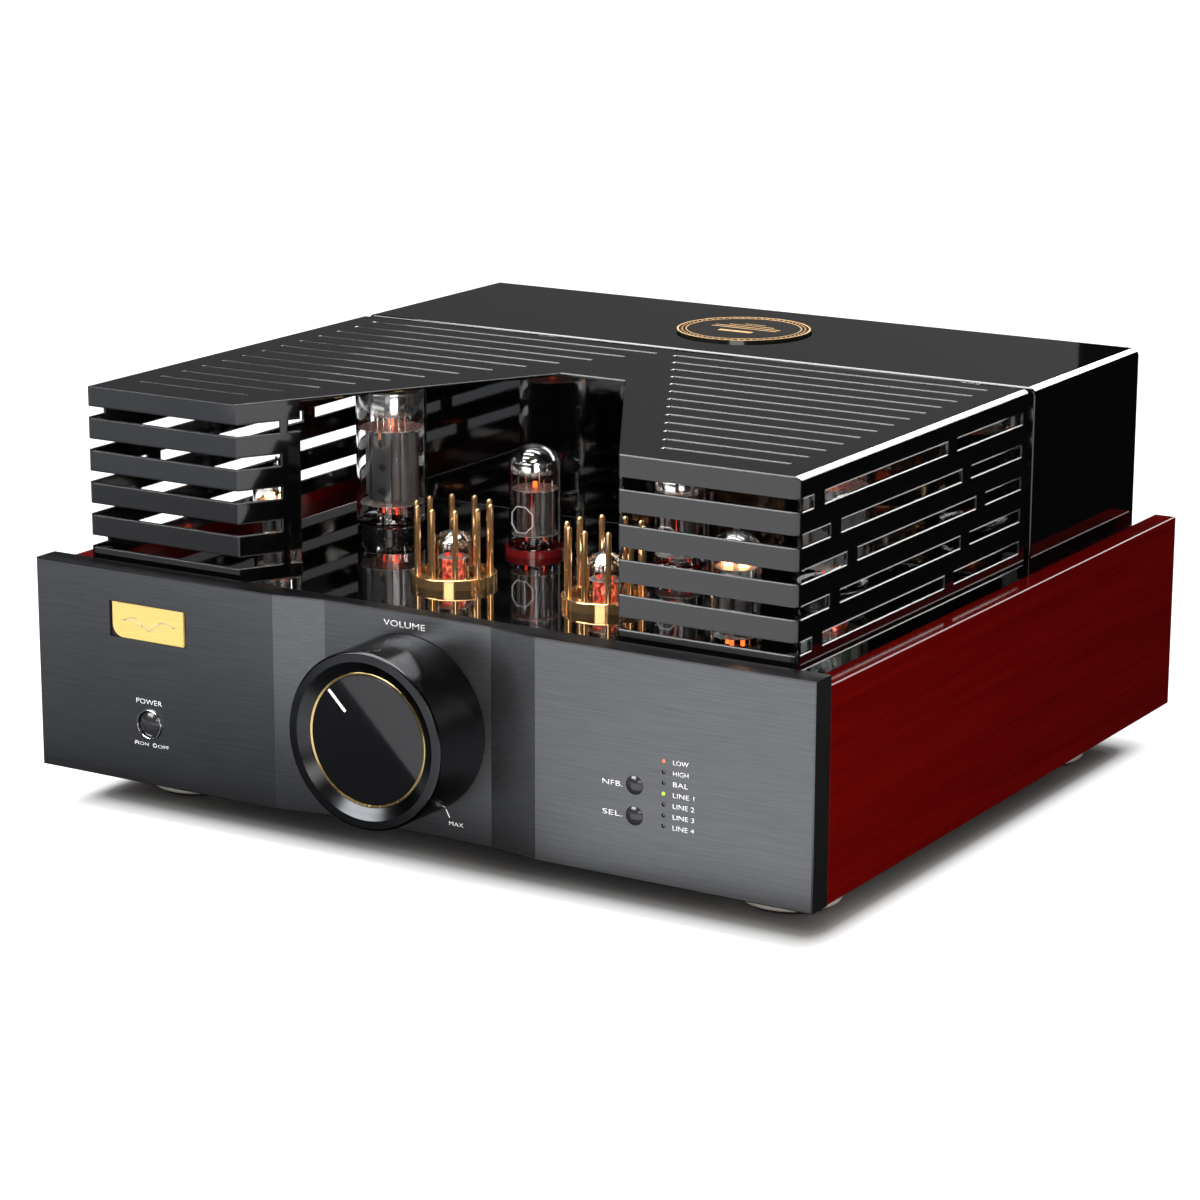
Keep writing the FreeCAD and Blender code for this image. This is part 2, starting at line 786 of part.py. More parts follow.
def make_cage():
    body = new_body("tube_cage")
    plan = [("-cage_half", "cage_front"), ("-notch_front_half", "cage_front"),
            ("-notch_rear_half", "notch_rear"), ("notch_rear_half", "notch_rear"),
            ("notch_front_half", "cage_front"), ("cage_half", "cage_front"),
            ("cage_half", "cage_back"), ("-cage_half", "cage_back")]
    pad(body, add_outline(new_sketch(body, "XY_Plane"), plan), "cover_top - cage_bottom")
    top = value("cover_top - cage_bottom")
    side = value("cage_half")
    front = value("cage_front")
    soften(body, "Fillet", "cage_round", lambda middle, edge: near(abs(middle.x), side) and
           (near(middle.y, front) or near(middle.z, top)))

    inside = half_hollow("-1") + half_hollow("1")[::-1]
    pocket(body, add_outline(new_sketch(body, "XY_Plane"), inside),
           "cover_top - cage_bottom - sheet_metal", reverse=True)

    wrapped = []
    for row in range(CAGE_ROWS):
        low = f"first_slot_top - slot_height - {row} * slot_pitch - cage_bottom"
        region = [("-cage_half - slot_wrap_half", "cage_front - slot_wrap_half"), ("-notch_front_half + 5",
                                                                            "cage_front - slot_wrap_half"),
                  beside_notch("wing_slot", "-slot_overrun"), beside_notch("wing_slot", "slot_wrap_half"),
                  ("-cage_half + slot_inside", f"cage_front + slot_wrap + {chevron(row)}"),
                  ("-cage_half - slot_wrap_half", f"cage_front + slot_wrap + {chevron(row)}")]
        wrapped.append(pocket(body, add_outline(new_sketch(body, "XY_Plane", low), region),
                              "slot_height", reverse=True))
    mirror_sideways(body, wrapped)

    sides = new_sketch(body, "YZ_Plane")
    for row in range(CAGE_ROWS):
        low = f"first_slot_top - slot_height - {row} * slot_pitch - cage_bottom"
        high = f"first_slot_top - {row} * slot_pitch - cage_bottom"
        start = f"cage_front + slot_wrap + slot_gap + {chevron(row)}"
        middle = f"{start} + slot_run"
        add_outline(sides, rectangle((start, low), (middle, high)))
        add_outline(sides, rectangle((f"{middle} + slot_gap", low), ("cage_back - slot_rear_margin", high)))
    pocket(body, sides, "cage_half * 2 + 20", both=True)

    top_slots = new_sketch(body, "XY_Plane", "cover_top - cage_bottom + 1")
    for index in range(TOP_SLOTS):
        low = f"top_slot_first + {index} * top_slot_pitch - top_slot_width / 2"
        high = f"top_slot_first + {index} * top_slot_pitch + top_slot_width / 2"
        inner = f"-(top_slot_front - {index} * (top_slot_front - top_slot_rear) / {TOP_SLOTS - 1})"
        add_outline(top_slots, rectangle(("-top_slot_outer", low), (inner, high)))
    mirror_sideways(body, [pocket(body, top_slots, "sheet_metal + 2")])
    node(place(body, z="cage_bottom"), "tube_cage")

    pads = []
    inset = "sheet_metal + cage_pad_radius + cage_pad_gap"
    for side_name in ("-(cage_half - {0})", "cage_half - {0}"):
        for depth in (f"cage_front + {inset}", f"cage_back - cage_pad_radius - 1"):
            pads.append(rod("cage_pad", "cage_pad_radius", "cage_bottom - deck_height + cage_pad_rise",
                            (side_name.format(f"({inset})"), depth, "deck_height")))
    node(group("cage_pad_group", pads), "cage_pads")


# ---------------------------------------------------------------- volume control and buttons

def make_knob():
    body = new_body("volume_knob")
    front = "(-knob_reach)"
    back = "(recess_depth - knob_panel_gap)"
    lip_inner = "(knob_radius - knob_lip)"
    seat = f"({front} + dial_depth)"
    profile = [
        ("shaft_radius + shaft_clearance", back),
        ("shaft_radius + shaft_clearance", f"{front} + shaft_socket"),
        ("0", f"{front} + shaft_socket"),
        ("0", f"{seat} + dial_seat"),
        ("dial_ring_radius + dial_clearance", f"{seat} + dial_seat"),
        ("dial_ring_radius + dial_clearance", f"{seat} - dial_seat_rise"),
        (lip_inner, front),
        ("knob_radius - knob_edge_round", front),
        ("knob_radius", f"{front} + knob_edge_round", "knob_edge_round"),
        ("knob_radius + knob_flare", back),
        ("knob_radius - knob_skirt", back),
        ("knob_radius - knob_skirt", "-knob_hollow"),
        ("knob_hub_radius", "-knob_hollow"),
        ("knob_hub_radius", back),
    ]
    revolve(body, add_outline(new_sketch(body, "XY_Plane"), profile))
    screw_hole = new_sketch(body, "XY_Plane", "-shaft_radius")
    add_circle(screw_hole, "0", "-grub_level", "grub_hole_radius")
    pocket(body, screw_hole, "knob_radius")
    node(place(body, z="knob_level"), "volume_knob")

    ring = [("dial_radius + glass_clearance", f"{seat} + dial_seat"),
            ("dial_ring_radius", f"{seat} + dial_seat"),
            ("dial_ring_radius", f"{seat} - 0.1"), ("dial_ring_radius - dial_bevel", f"{seat} - 0.4"),
            ("dial_radius + glass_clearance", f"{seat} - 0.1")]
    node(turned_forward("knob_ring", ring, z="knob_level"), "knob_ring")
    glass = [("0", f"{seat} + dial_seat"), ("dial_radius", f"{seat} + dial_seat"),
             ("dial_radius", f"{seat} + dial_bevel"),
             ("dial_radius - dial_bevel", seat), ("0", seat)]
    node(turned_forward("knob_glass", glass, z="knob_level"), "knob_glass")

    pointer = doc.addObject("Part::Box", "knob_pointer")
    bind(pointer, Length="pointer_width", Width="pointer_thickness", Height="pointer_length")
    angle = math.radians(POINTER_ANGLE)
    inner = FreeCAD.Vector(-0.65, 0, 16.4)
    turn = FreeCAD.Rotation(FreeCAD.Vector(0, 1, 0), -POINTER_ANGLE)
    corner = turn.multVec(inner)
    place(pointer, f"{corner.x:.6f}", f"{seat} - pointer_thickness", f"knob_level + {corner.z:.6f}",
          rotation=turn)
    node(pointer, "knob_pointer")

    downwards = FreeCAD.Rotation(FreeCAD.Vector(1, 0, 0), 180)
    screw = rod("screw_blank", "grub_radius", "grub_length",
                ("0", "-grub_level", "knob_level - shaft_radius"), downwards)
    socket = rod("screw_socket", "grub_socket_radius", "grub_socket_depth",
                 ("0", "-grub_level", "knob_level - shaft_radius - 6"), downwards)
    node(cut("knob_screw", screw, [socket]), "knob_screw")
    shaft = [("0", f"{front} + knob_hub_radius"), ("shaft_radius", f"{front} + knob_hub_radius"),
             ("shaft_radius", "panel_thickness + pot_length - 3"),
             ("0", "panel_thickness + pot_length - 3")]
    node(turned_forward("volume_shaft", shaft, z="knob_level"), "volume_shaft")


def make_pot():
    bore = "shaft_radius + running_gap"
    wall = "(panel_thickness + sheet_metal)"
    case = [(bore, "thread_start"), ("thread_radius", "thread_start"), ("thread_radius", wall),
            ("pot_radius", wall),
            ("pot_radius", f"{wall} + pot_length"), ("0", f"{wall} + pot_length"),
            ("0", f"{wall} + pot_length - pot_wall"), (bore, f"{wall} + pot_length - pot_wall")]
    node(turned_forward("volume_pot", case, z="knob_level"), "volume_pot")
    hexagon = doc.addObject("Part::Prism", "nut_blank")
    hexagon.Polygon = 6
    bind(hexagon, Circumradius="nut_radius", Height="nut_height")
    place(hexagon, "0", "panel_thickness - nut_height", "knob_level", ALONG_Y)
    thread = rod("nut_bore", "nut_bore_radius", "6", ("0", "panel_thickness - 4", "knob_level"), ALONG_Y)
    node(cut("pot_nut", hexagon, [thread]), "pot_nut")


def make_power_button():
    radius = "power_button_radius"
    ring = [("power_ring_radius - ring_width", "3"), ("power_ring_radius", "3"),
            ("power_ring_radius", "-0.5"),
            ("power_ring_radius - 0.45", "-0.95", "-0.45"), ("power_ring_radius - ring_width", "-0.5",
                                                             "-0.45")]
    node(turned_forward("power_ring", ring, "-power_side", "0", "power_level"), "power_ring")
    cap = [("0", "19"), ("power_stem_radius", "19"), ("power_stem_radius", "11"), (radius, "11"),
           (radius, "0.4"),
           ("0", "-1.6", "-" + dome_radius(radius, "power_dome"))]
    node(turned_forward("power_button", cap, "-power_side", "0", "power_level"), "power_button")
    switch = block("switch_case", ("-power_side - switch_half", "panel_thickness + sheet_metal",
                                   "power_level - switch_half"),
                   ("-power_side + switch_half", "panel_thickness + sheet_metal + switch_depth",
                    "power_level + switch_half"))
    bore = rod("switch_bore", "switch_bore_radius", "12", ("-power_side", "panel_thickness",
                                                           "power_level"), ALONG_Y)
    node(cut("power_switch", switch, [bore]), "power_switch")


def make_selectors():
    cap = [("0", "15.2"), ("small_stem_radius", "15.2"), ("small_stem_radius", "11"),
           ("button_radius", "11"),
           ("button_radius", "0"),
           ("0", "-button_proud", "-" + dome_radius("button_radius", "button_proud"))]
    for label, level in (("feedback_button", "feedback_level"), ("source_button", "source_level")):
        node(turned_forward(label, cap, "button_side", "0", level), label)
    board_face = "(panel_thickness + sheet_metal + board_setback)"
    switches = []
    for level in ("feedback_level", "source_level"):
        switches.append(block("button_switch", ("button_side - small_switch_half",
                                                f"{board_face} - small_switch_depth",
                                                f"{level} - small_switch_half"),
                              ("button_side + small_switch_half", board_face,
                               f"{level} + small_switch_half")))
    node(group("button_switch_group", switches), "button_switches")

    left, right, low, high = "button_side - card_inner", "lamp_side + card_outer", "card_low", "card_high"
    pieces = [block("switch_card", (left, board_face, low), (right, f"{board_face} + board_thickness",
                                                             high))]
    for side in (f"{left} + card_spacer_inset", f"{right} - card_spacer_inset"):
        for level in (f"{low} + card_spacer_inset", f"{high} - card_spacer_inset"):
            pieces.append(rod("card_spacer", "card_spacer_radius",
                              f"{board_face} - panel_thickness - sheet_metal",
                              (side, "panel_thickness + sheet_metal", level), ALONG_Y))
    node(join("switch_board_body", pieces), "switch_board")

    lamp = [("0", board_face), ("lamp_radius - lamp_clearance", board_face),
            ("lamp_radius - lamp_clearance", "0.9"),
            ("0", "0.1", "-" + dome_radius("(lamp_radius - lamp_clearance)", "lamp_dome"))]
    lamps = []
    for index in range(LAMP_COUNT):
        lamps.append(turned_forward("lamp", lamp, "lamp_side", "0", f"lamp_level + {index} * lamp_pitch"))
    node(group("lamp_group", lamps), "indicator_lamps")


# ---------------------------------------------------------------- tubes

def dome_radius(half_width, rise):
    """The radius of a dome of a given half width and rise, centred on the axis."""
    return f"(({half_width} * {half_width} + {rise} * {rise}) / (2 * {rise}))"


def glass_bottle(label, radius, height, neck, foot, x, y, z):
    """A glass envelope, open underneath where its base or stem closes it."""
    wall = "glass_wall"
    inside = f"({radius} - {wall})"
    dome = f"({radius} * dome_share)"
    outer = dome_radius(radius, dome)
    inner = dome_radius(inside, f"({dome} - {wall})")
    profile = [
        (f"{neck} - {wall}", "0"),
        (neck, "0"),
        (neck, foot),
        (radius, f"{foot} + shoulder_rise", f"{radius} * 0.5"),
        (radius, f"{height} - {dome}"),
        ("0", height, outer),
        ("0", f"{height} - {wall}"),
        (inside, f"{height} - {dome}", f"-{inner}"),
        (inside, f"{foot} + 3.4"),
        (f"{neck} - {wall}", f"{foot} + 0.8"),
    ]
    return turned(label, profile, x, y, z)


def electrodes(name, radius, low, high, foot, x, y, z):
    """Two mica discs, the anode between them, its heater stem and the getter holder above."""
    mica = f"({radius} - glass_wall - 0.6)"
    parts = [
        rod(name + "_mica", mica, "mica_thickness", (x, y, f"{z} + {low}")),
        rod(name + "_mica", mica, "mica_thickness", (x, y, f"{z} + {high}")),
        rod(name + "_anode", f"{radius} * anode_share", f"{high} - ({low}) - mica_thickness",
            (x, y, f"{z} + {low} + mica_thickness")),
        rod(name + "_stem", f"{radius} * stem_share", f"{low} - ({foot})", (x, y, f"{z} + {foot}")),
    ]
    for shift in (f"{radius} * support_share", f"-({radius} * support_share)"):
        parts.append(rod(name + "_support", "support_radius", f"{high} - ({low}) + 5",
                         (f"({x}) + {shift}", y, f"{z} + {low}")))
    return join(name, parts)


def octal_base(label, radius, height, x, y):
    """Moulded base with eight pins and a centre key, seated in the socket below the deck."""
    body = new_body(label)
    shell = new_sketch(body, "XY_Plane")
    add_circle(shell, "0", "0", radius)
    pad(body, shell, f"socket_drop + {height}")
    hollow = new_sketch(body, "XY_Plane", "3")
    add_circle(hollow, "0", "0", f"{radius} - octal_base_wall")
    pocket(body, hollow, f"socket_drop + {height}", reverse=True)
    post = new_sketch(body, "XY_Plane", "-11")
    add_circle(post, "0", "0", "octal_key_radius")
    pad(body, post, "12")
    pin = new_sketch(body, "XY_Plane", "-10")
    add_circle(pin, "octal_pin_circle", "0", "octal_pin_radius")
    first = pad(body, pin, "octal_pin_length")
    repeat_round(body, [first], pin, 8)
    return place(body, x, y, "deck_height - socket_drop")


def octal_socket(x, y):
    """Round socket with a contact hole for each pin and for the key."""
    body = new_body("octal_socket")
    outline = new_sketch(body, "XY_Plane")
    add_circle(outline, "0", "0", "octal_socket_radius")
    pad(body, outline, "octal_socket_height")
    key = new_sketch(body, "XY_Plane", "octal_socket_height")
    add_circle(key, "0", "0", "octal_key_hole")
    pocket(body, key, "octal_socket_height + 1")
    contact = new_sketch(body, "XY_Plane", "octal_socket_height")
    add_circle(contact, "octal_pin_circle", "0", "octal_contact_radius")
    repeat_round(body, [pocket(body, contact, "octal_socket_height + 1")], contact, 8)
    return place(body, x, y, "deck_height - socket_drop - octal_socket_height")


def nine_pin_socket(radius, x, y, top):
    ring = [("nine_pin_bore", "0"), (radius, "0"), (radius, "nine_pin_height"),
            ("nine_pin_bore", "nine_pin_height")]
    return turned("nine_pin_socket", ring, x, y, f"{top} - nine_pin_height")


def guard_ring(label, x, y):
    """A ring with round-topped pins that stand around a small tube."""
    body = new_body(label)
    inner, outer = "(guard_radius - guard_ring_width)", "guard_radius"
    ring = [(inner, "0"), (outer, "0"), (outer, "guard_ring_height - guard_edge_round"),
            (f"{outer} - guard_edge_round", "guard_ring_height", "guard_edge_round"), (inner,
                                                                                       "guard_ring_height")]
    revolve(body, add_outline(new_sketch(body, "XZ_Plane"), ring))
    circle = "(guard_radius - guard_pin_radius - guard_pin_inset)"
    base = new_sketch(body, "XY_Plane", "guard_ring_height - 1")
    add_circle(base, f"{circle} * cos(guard_first_angle)", f"-{circle} * sin(guard_first_angle)",
               "guard_pin_radius")
    pin = pad(body, base, "guard_height - guard_ring_height + 1")
    tip = value("guard_height")
    doc.recompute()
    crown = soften(body, "Fillet", "guard_pin_radius - 0.05", lambda middle, edge: near(middle.z, tip))
    repeat_round(body, [pin, crown], base, GUARD_PINS)
    return place(body, x, y, "deck_height")


def make_tubes():
    deck = "deck_height"
    power_bases, octal_bases = [], []
    power_plates, octal_plates = [], []
    small_glass, small_plates = [], []
    octal_sockets, nine_pin_sockets = [], []
    for side, sign in TUBE_SIDES.items():
        x = f"({sign}) * power_tube_side"
        y = "power_tube_depth"
        node(glass_bottle(f"power_tube_glass_{side}", "power_tube_radius",
                          "power_tube_height - power_glass_lift",
                          "power_neck", "1.5", x, y, f"{deck} + power_glass_lift"),
                          f"power_tube_glass_{side}")
        power_plates.append(electrodes(f"power_tube_inside_{side}", "power_tube_radius", "power_mica_low",
                                       "power_mica_high", "1",
                                       x, y, deck))
        power_bases.append(octal_base(f"power_tube_base_{side}", "power_base_radius", "power_base_height",
                                      x, y))
        octal_sockets.append(octal_socket(x, y))

        x = f"({sign}) * octal_side"
        y = "octal_depth"
        node(glass_bottle(f"octal_tube_glass_{side}", "octal_radius", "octal_height - octal_glass_lift",
                          "octal_neck", "1.0", x, y, f"{deck} + octal_glass_lift"),
                          f"octal_tube_glass_{side}")
        octal_plates.append(electrodes(f"octal_tube_inside_{side}", "octal_radius", "octal_mica_low",
                                       "octal_mica_high", "1",
                                       x, y, deck))
        octal_bases.append(octal_base(f"octal_tube_base_{side}", "octal_base_radius", "octal_base_height",
                                      x, y))
        octal_sockets.append(octal_socket(x, y))

        x = f"({sign}) * guard_side"
        y = "guard_depth"
        node(guard_ring(f"guard_ring_{side}", x, y), f"guard_ring_{side}")
        small_glass.append(glass_bottle(f"guarded_glass_{side}", "small_radius",
                                        "small_height + guarded_drop",
                                        "small_radius - neck_inset", "0.5", x, y, f"{deck} - guarded_drop"))
        small_plates.append(electrodes(f"guarded_inside_{side}", "small_radius", "-8", "13", "-14",
                                       x, y, deck))
        nine_pin_sockets.append(nine_pin_socket("guarded_socket_radius", x, y, f"{deck} - guarded_drop"))

        x = f"({sign}) * front_tube_side"
        y = "front_tube_depth"
        small_glass.append(glass_bottle(f"front_glass_{side}", "front_tube_radius",
                                        "front_tube_height + front_drop", "front_tube_radius - neck_inset",
                                        "0.5",
                                        x, y, f"{deck} - front_drop"))
        small_plates.append(electrodes(f"front_inside_{side}", "front_tube_radius", "2", "36", "-6",
                                       x, y, deck))
        nine_pin_sockets.append(nine_pin_socket("front_socket_radius", x, y, f"{deck} - front_drop"))
    node(group("power_base_group", power_bases), "power_tube_bases")
    node(group("octal_base_group", octal_bases), "octal_tube_bases")
    node(group("power_plate_group", power_plates), "power_tube_plates")
    node(group("octal_plate_group", octal_plates), "octal_tube_plates")
    node(group("small_glass_group", small_glass), "small_tube_glass")
    node(group("small_plate_group", small_plates), "small_tube_plates")
    node(group("octal_socket_group", octal_sockets), "octal_sockets")
    node(group("nine_pin_group", nine_pin_sockets), "nine_pin_sockets")


# ---------------------------------------------------------------- transformers and boards

def transformer(name, unit, stack, x):
    """A laminated shell core of standard proportions and the winding around its centre leg."""
    y = "medallion_depth"
    z = "deck_height"
    core = block(f"{name}_block", (f"({x}) - 3 * {unit}", f"{y} - {stack} / 2", z),
                 (f"({x}) + 3 * {unit}", f"{y} + {stack} / 2", f"{z} + 5 * {unit}"))
    windows = []
    for inner, outer in (("1", "2"), ("-2", "-1")):
        windows.append(block(f"{name}_window",
                             (f"({x}) + ({inner}) * {unit}", f"{y} - {stack}", f"{z} + {unit}"),
                             (f"({x}) + ({outer}) * {unit}", f"{y} + {stack}", f"{z} + 4 * {unit}")))
    gap = "winding_gap"
    wound = block(f"{name}_wound",
                  (f"({x}) - 2 * {unit} + {gap}", f"{y} - {stack} / 2 - {unit} + 2",
                   f"{z} + {unit} + {gap}"),
                  (f"({x}) + 2 * {unit} - {gap}", f"{y} + {stack} / 2 + {unit} - 2",
                   f"{z} + 4 * {unit} - {gap}"))
    leg = block(f"{name}_leg", (f"({x}) - {unit} - {gap}", f"{y} - {stack} / 2 - {gap}", z),
                (f"({x}) + {unit} + {gap}", f"{y} + {stack} / 2 + {gap}", f"{z} + 5 * {unit}"))
    return cut(f"{name}_core", core, windows), cut(f"{name}_coil", wound, [leg])


def make_transformers():
    core, coil = transformer("mains", "mains_unit", "mains_stack", "0")
    node(core, "mains_core")
    node(coil, "mains_coil")
    cores, coils = [], []
    for side, sign in TUBE_SIDES.items():
        core, coil = transformer(f"output_{side}", "output_unit", "output_stack", f"({sign}) * output_side")
        cores.append(core)
        coils.append(coil)
    node(group("output_core_group", cores), "output_cores")
    node(group("output_coil_group", coils), "output_coils")


def make_board():
    low = "(sheet_metal + standoff_height)"
    card = block("board_card", ("-card_half", "card_front", low), ("card_half", "card_rear",
                                                                   f"{low} + board_thickness"))
    node(card, "main_board")
    cans = []
    top = f"({low} + board_thickness)"
    can = [("0", "0"), ("capacitor_radius", "0"), ("capacitor_radius", "3"),
           ("capacitor_radius - can_groove", "3.8"), ("capacitor_radius", "4.6"),
           ("capacitor_radius", "capacitor_height - can_round"),
           ("capacitor_radius - can_round", "capacitor_height", "can_round"), ("0", "capacitor_height")]
    for side in ("-can_outer", "-can_inner", "can_inner", "can_outer"):
        cans.append(turned("capacitor", can, side, "can_depth", top))
    node(group("capacitor_group", cans), "filter_capacitors")


# ---------------------------------------------------------------- rear

POST_SIDES = {"one": "-112", "two": "-88", "three": "-46", "four": "-22"}
PHONO_COLUMNS = 5


def phono_places():
    for column in range(PHONO_COLUMNS):
        for shift in ("-phono_row", "phono_row"):
            yield (f"phono_side + {column} * phono_pitch", f"connector_level + ({shift})")


def balanced_places():
    for index in range(2):
        yield (f"balanced_side + {index} * balanced_pitch", "connector_level")


def make_rear_panel():
    body = new_body("rear_panel")
    shape = rectangle((f"-{INNER_HALF}", "sheet_metal"), (INNER_HALF, "deck_height"))
    pad(body, add_outline(new_sketch(body, "XZ_Plane", "-case_depth"), shape), "sheet_metal")
    holes = new_sketch(body, "XZ_Plane", "-case_depth + sheet_metal + 1")
    add_outline(holes, rectangle(("-inlet_side - inlet_hole_half", "connector_level - inlet_hole_rise"),
                                 ("-inlet_side + inlet_hole_half", "connector_level + inlet_hole_rise")))
    for side in POST_SIDES.values():
        add_circle(holes, side, "connector_level", "stud_radius + post_hole_gap")
    for side, level in phono_places():
        add_circle(holes, side, level, "phono_hole_radius")
    for side, level in balanced_places():
        add_circle(holes, side, level, "balanced_hole_radius")
    pocket(body, holes, "sheet_metal * 3")
    node(place(body), "rear_panel")


def make_inlet():
    """Mains inlet: a recessed three-pin connector behind a flange. No lead is part of the object."""
    back = "case_depth"
    shell = block("inlet_shell", ("-inlet_side - inlet_half", f"{back} - inlet_depth",
                                  "connector_level - inlet_rise"),
                  ("-inlet_side + inlet_half", back, "connector_level + inlet_rise"))
    flange = block("inlet_flange", ("-inlet_side - flange_half", back, "connector_level - flange_rise"),
                   ("-inlet_side + flange_half", f"{back} + flange_thickness",
                    "connector_level + flange_rise"))
    cavity = block("inlet_cavity", ("-inlet_side - cavity_half", f"{back} - cavity_depth",
                                    "connector_level - cavity_rise"),
                   ("-inlet_side + cavity_half", f"{back} + 5", "connector_level + cavity_rise"))
    pins = []
    for side, level in (("-inlet_pin_pitch", "-inlet_pin_rise"), ("0", "inlet_pin_rise"),
                        ("inlet_pin_pitch", "-inlet_pin_rise")):
        middle = f"-inlet_side + ({side})"
        height = f"connector_level + ({level})"
        pins.append(block("inlet_pin", (f"{middle} - 1", f"{back} - 15", f"{height} - 2"),
                          (f"{middle} + 1", f"{back} - 4", f"{height} + 2")))
    housing = cut("inlet_housing", join("inlet_solid", [shell, flange]), [cavity])
    node(join("inlet_all", [housing] + pins), "mains_inlet")


def make_speaker_posts():
    """Fixed studs with a plug hole, and the caps that turn on them."""
    back = "case_depth"
    level = "connector_level"
    stud = [("0", f"{back} - stud_inside"), ("stud_radius", f"{back} - stud_inside"), ("stud_radius", back),
            ("post_radius + 0.5", back), ("post_radius + 0.5", f"{back} + stud_collar"),
            ("stud_radius", f"{back} + 6.2"), ("stud_radius", f"{back} + stud_outside"),
            ("plug_hole_radius", f"{back} + stud_outside"), ("plug_hole_radius",
                                                             f"{back} + plug_hole_bottom"), ("0",
                                                                            f"{back} + plug_hole_bottom")]
    studs = []
    for side in POST_SIDES.values():
        studs.append(turned_forward("post_stud", stud, side, "0", level))
    node(group("post_stud_group", studs), "speaker_posts")
    bore = "stud_radius + stud_clearance"
    for count_word, side in POST_SIDES.items():
        label = f"post_cap_{count_word}"
        body = new_body(label)
        cap = [(bore, "cap_back"), ("post_radius", "cap_back"),
               ("post_radius", "terminal_reach - cap_round"),
               ("post_radius - cap_round", "terminal_reach"), ("plug_mouth_radius", "terminal_reach"),
               ("plug_mouth_radius", "cap_web"), (bore, "cap_web")]
        revolve(body, add_outline(new_sketch(body, "XY_Plane"), cap))
        groove = new_sketch(body, "XZ_Plane", "-6")
        add_circle(groove, "post_radius + 0.35", "0", "groove_radius")
        cut_groove = pocket(body, groove, "terminal_reach")
        repeat_round(body, [cut_groove], groove, 18)
        node(place(body, side, back, level), label)


def make_signal_sockets():
    back = "case_depth"
    jack = [("0", f"{back} - jack_inside"), ("jack_stem_radius", f"{back} - jack_inside"),
            ("jack_stem_radius", back), ("jack_flange_radius", back), ("jack_flange_radius",
                                                                       f"{back} + jack_flange"),
            ("phono_radius", f"{back} + jack_flange"), ("phono_radius", f"{back} + jack_length"),
            ("phono_radius - 0.4", f"{back} + 10.8"), ("jack_bore_radius",
                                                       f"{back} + 10.8"), ("jack_bore_radius",
                                                                           f"{back} + 1"),
            ("0", f"{back} + 1")]
    jacks = [turned_forward("phono_jack", jack, side, "0", level) for side, level in phono_places()]
    node(group("phono_group", jacks), "phono_sockets")
    balanced = []
    for side, level in balanced_places():
        flange = block("balanced_flange", (f"{side} - plate_half", back, f"{level} - plate_rise"),
                       (f"{side} + plate_half", f"{back} + 2", f"{level} + plate_rise"))
        barrel = rod("balanced_barrel", "barrel_radius", "22", (side, f"{back} - barrel_inside", level),
                     ALONG_Y)
        holes = []
        for angle in (90, 210, 330):
            across = 4.9 * math.cos(math.radians(angle))
            upwards = 4.9 * math.sin(math.radians(angle))
            holes.append(rod("contact_hole", "contact_radius", "14",
                             (f"{side} + {across:.4f}", f"{back} - 8",
                              f"{level} + {upwards:.4f}"), ALONG_Y))
        balanced.append(cut("balanced_socket", join("balanced_solid", [flange, barrel]), holes))
    node(group("balanced_group", balanced), "balanced_sockets")


def prism(name, corner_radius, length, start, rotation=UPRIGHT):
    """A hexagonal bar that grows from its start point."""
    piece = doc.addObject("Part::Prism", name)
    piece.Polygon = 6
    bind(piece, Circumradius=corner_radius, Height=length)
    return place(piece, *start, rotation=rotation)


def make_screws():
    """The hexagon heads of the screws that hold the rear panel and the bottom plate."""
    rear = []
    for side in (f"-{INNER_HALF} + screw_inset_rear", "0", f"{INNER_HALF} - screw_inset_rear"):
        for level in ("8", "84"):
            rear.append(prism("rear_screw", "screw_corner_radius", "screw_head_height",
                              (side, "case_depth", level), ALONG_Y))
    node(group("rear_screw_group", rear), "rear_screws")
    under = []
    for side in (f"-{INNER_HALF} + screw_inset_under", f"{INNER_HALF} - screw_inset_under"):
        for depth in ("24", "200", "376"):
            under.append(prism("bottom_screw", "screw_corner_radius", "screw_head_height",
                               (side, depth, "-screw_head_height")))
    node(group("bottom_screw_group", under), "bottom_screws")


# ---------------------------------------------------------------- build and write

make_front_panel()
make_badge()
make_wood_side("wood_side_left", -1)
make_wood_side("wood_side_right", 1)
make_chassis()
make_bottom_plate()
make_deck()
make_cover()
make_feet()
make_cage()
make_knob()
make_pot()
make_power_button()
make_selectors()
make_tubes()
make_transformers()
make_board()
make_rear_panel()
make_inlet()
make_speaker_posts()
make_signal_sockets()
make_screws()
doc.recompute()

faults = [item.Name for item in doc.Objects if {"Invalid", "Error"} & set(item.State)]
if faults:
    raise RuntimeError("features that failed: " + ", ".join(faults))
os.makedirs("parts", exist_ok=True)
for piece in NODES:
    shape = piece.Shape
    if shape.isNull() or not shape.isValid() or shape.Volume <= 0 or not shape.Solids:
        raise RuntimeError(f"{piece.Label} has no sound solid")
    shape.exportStep(f"parts/{piece.Label}.step")
print(len(NODES), "nodes written")
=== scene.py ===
import json
import math

import bmesh
import bpy
from mathutils import Matrix, Vector


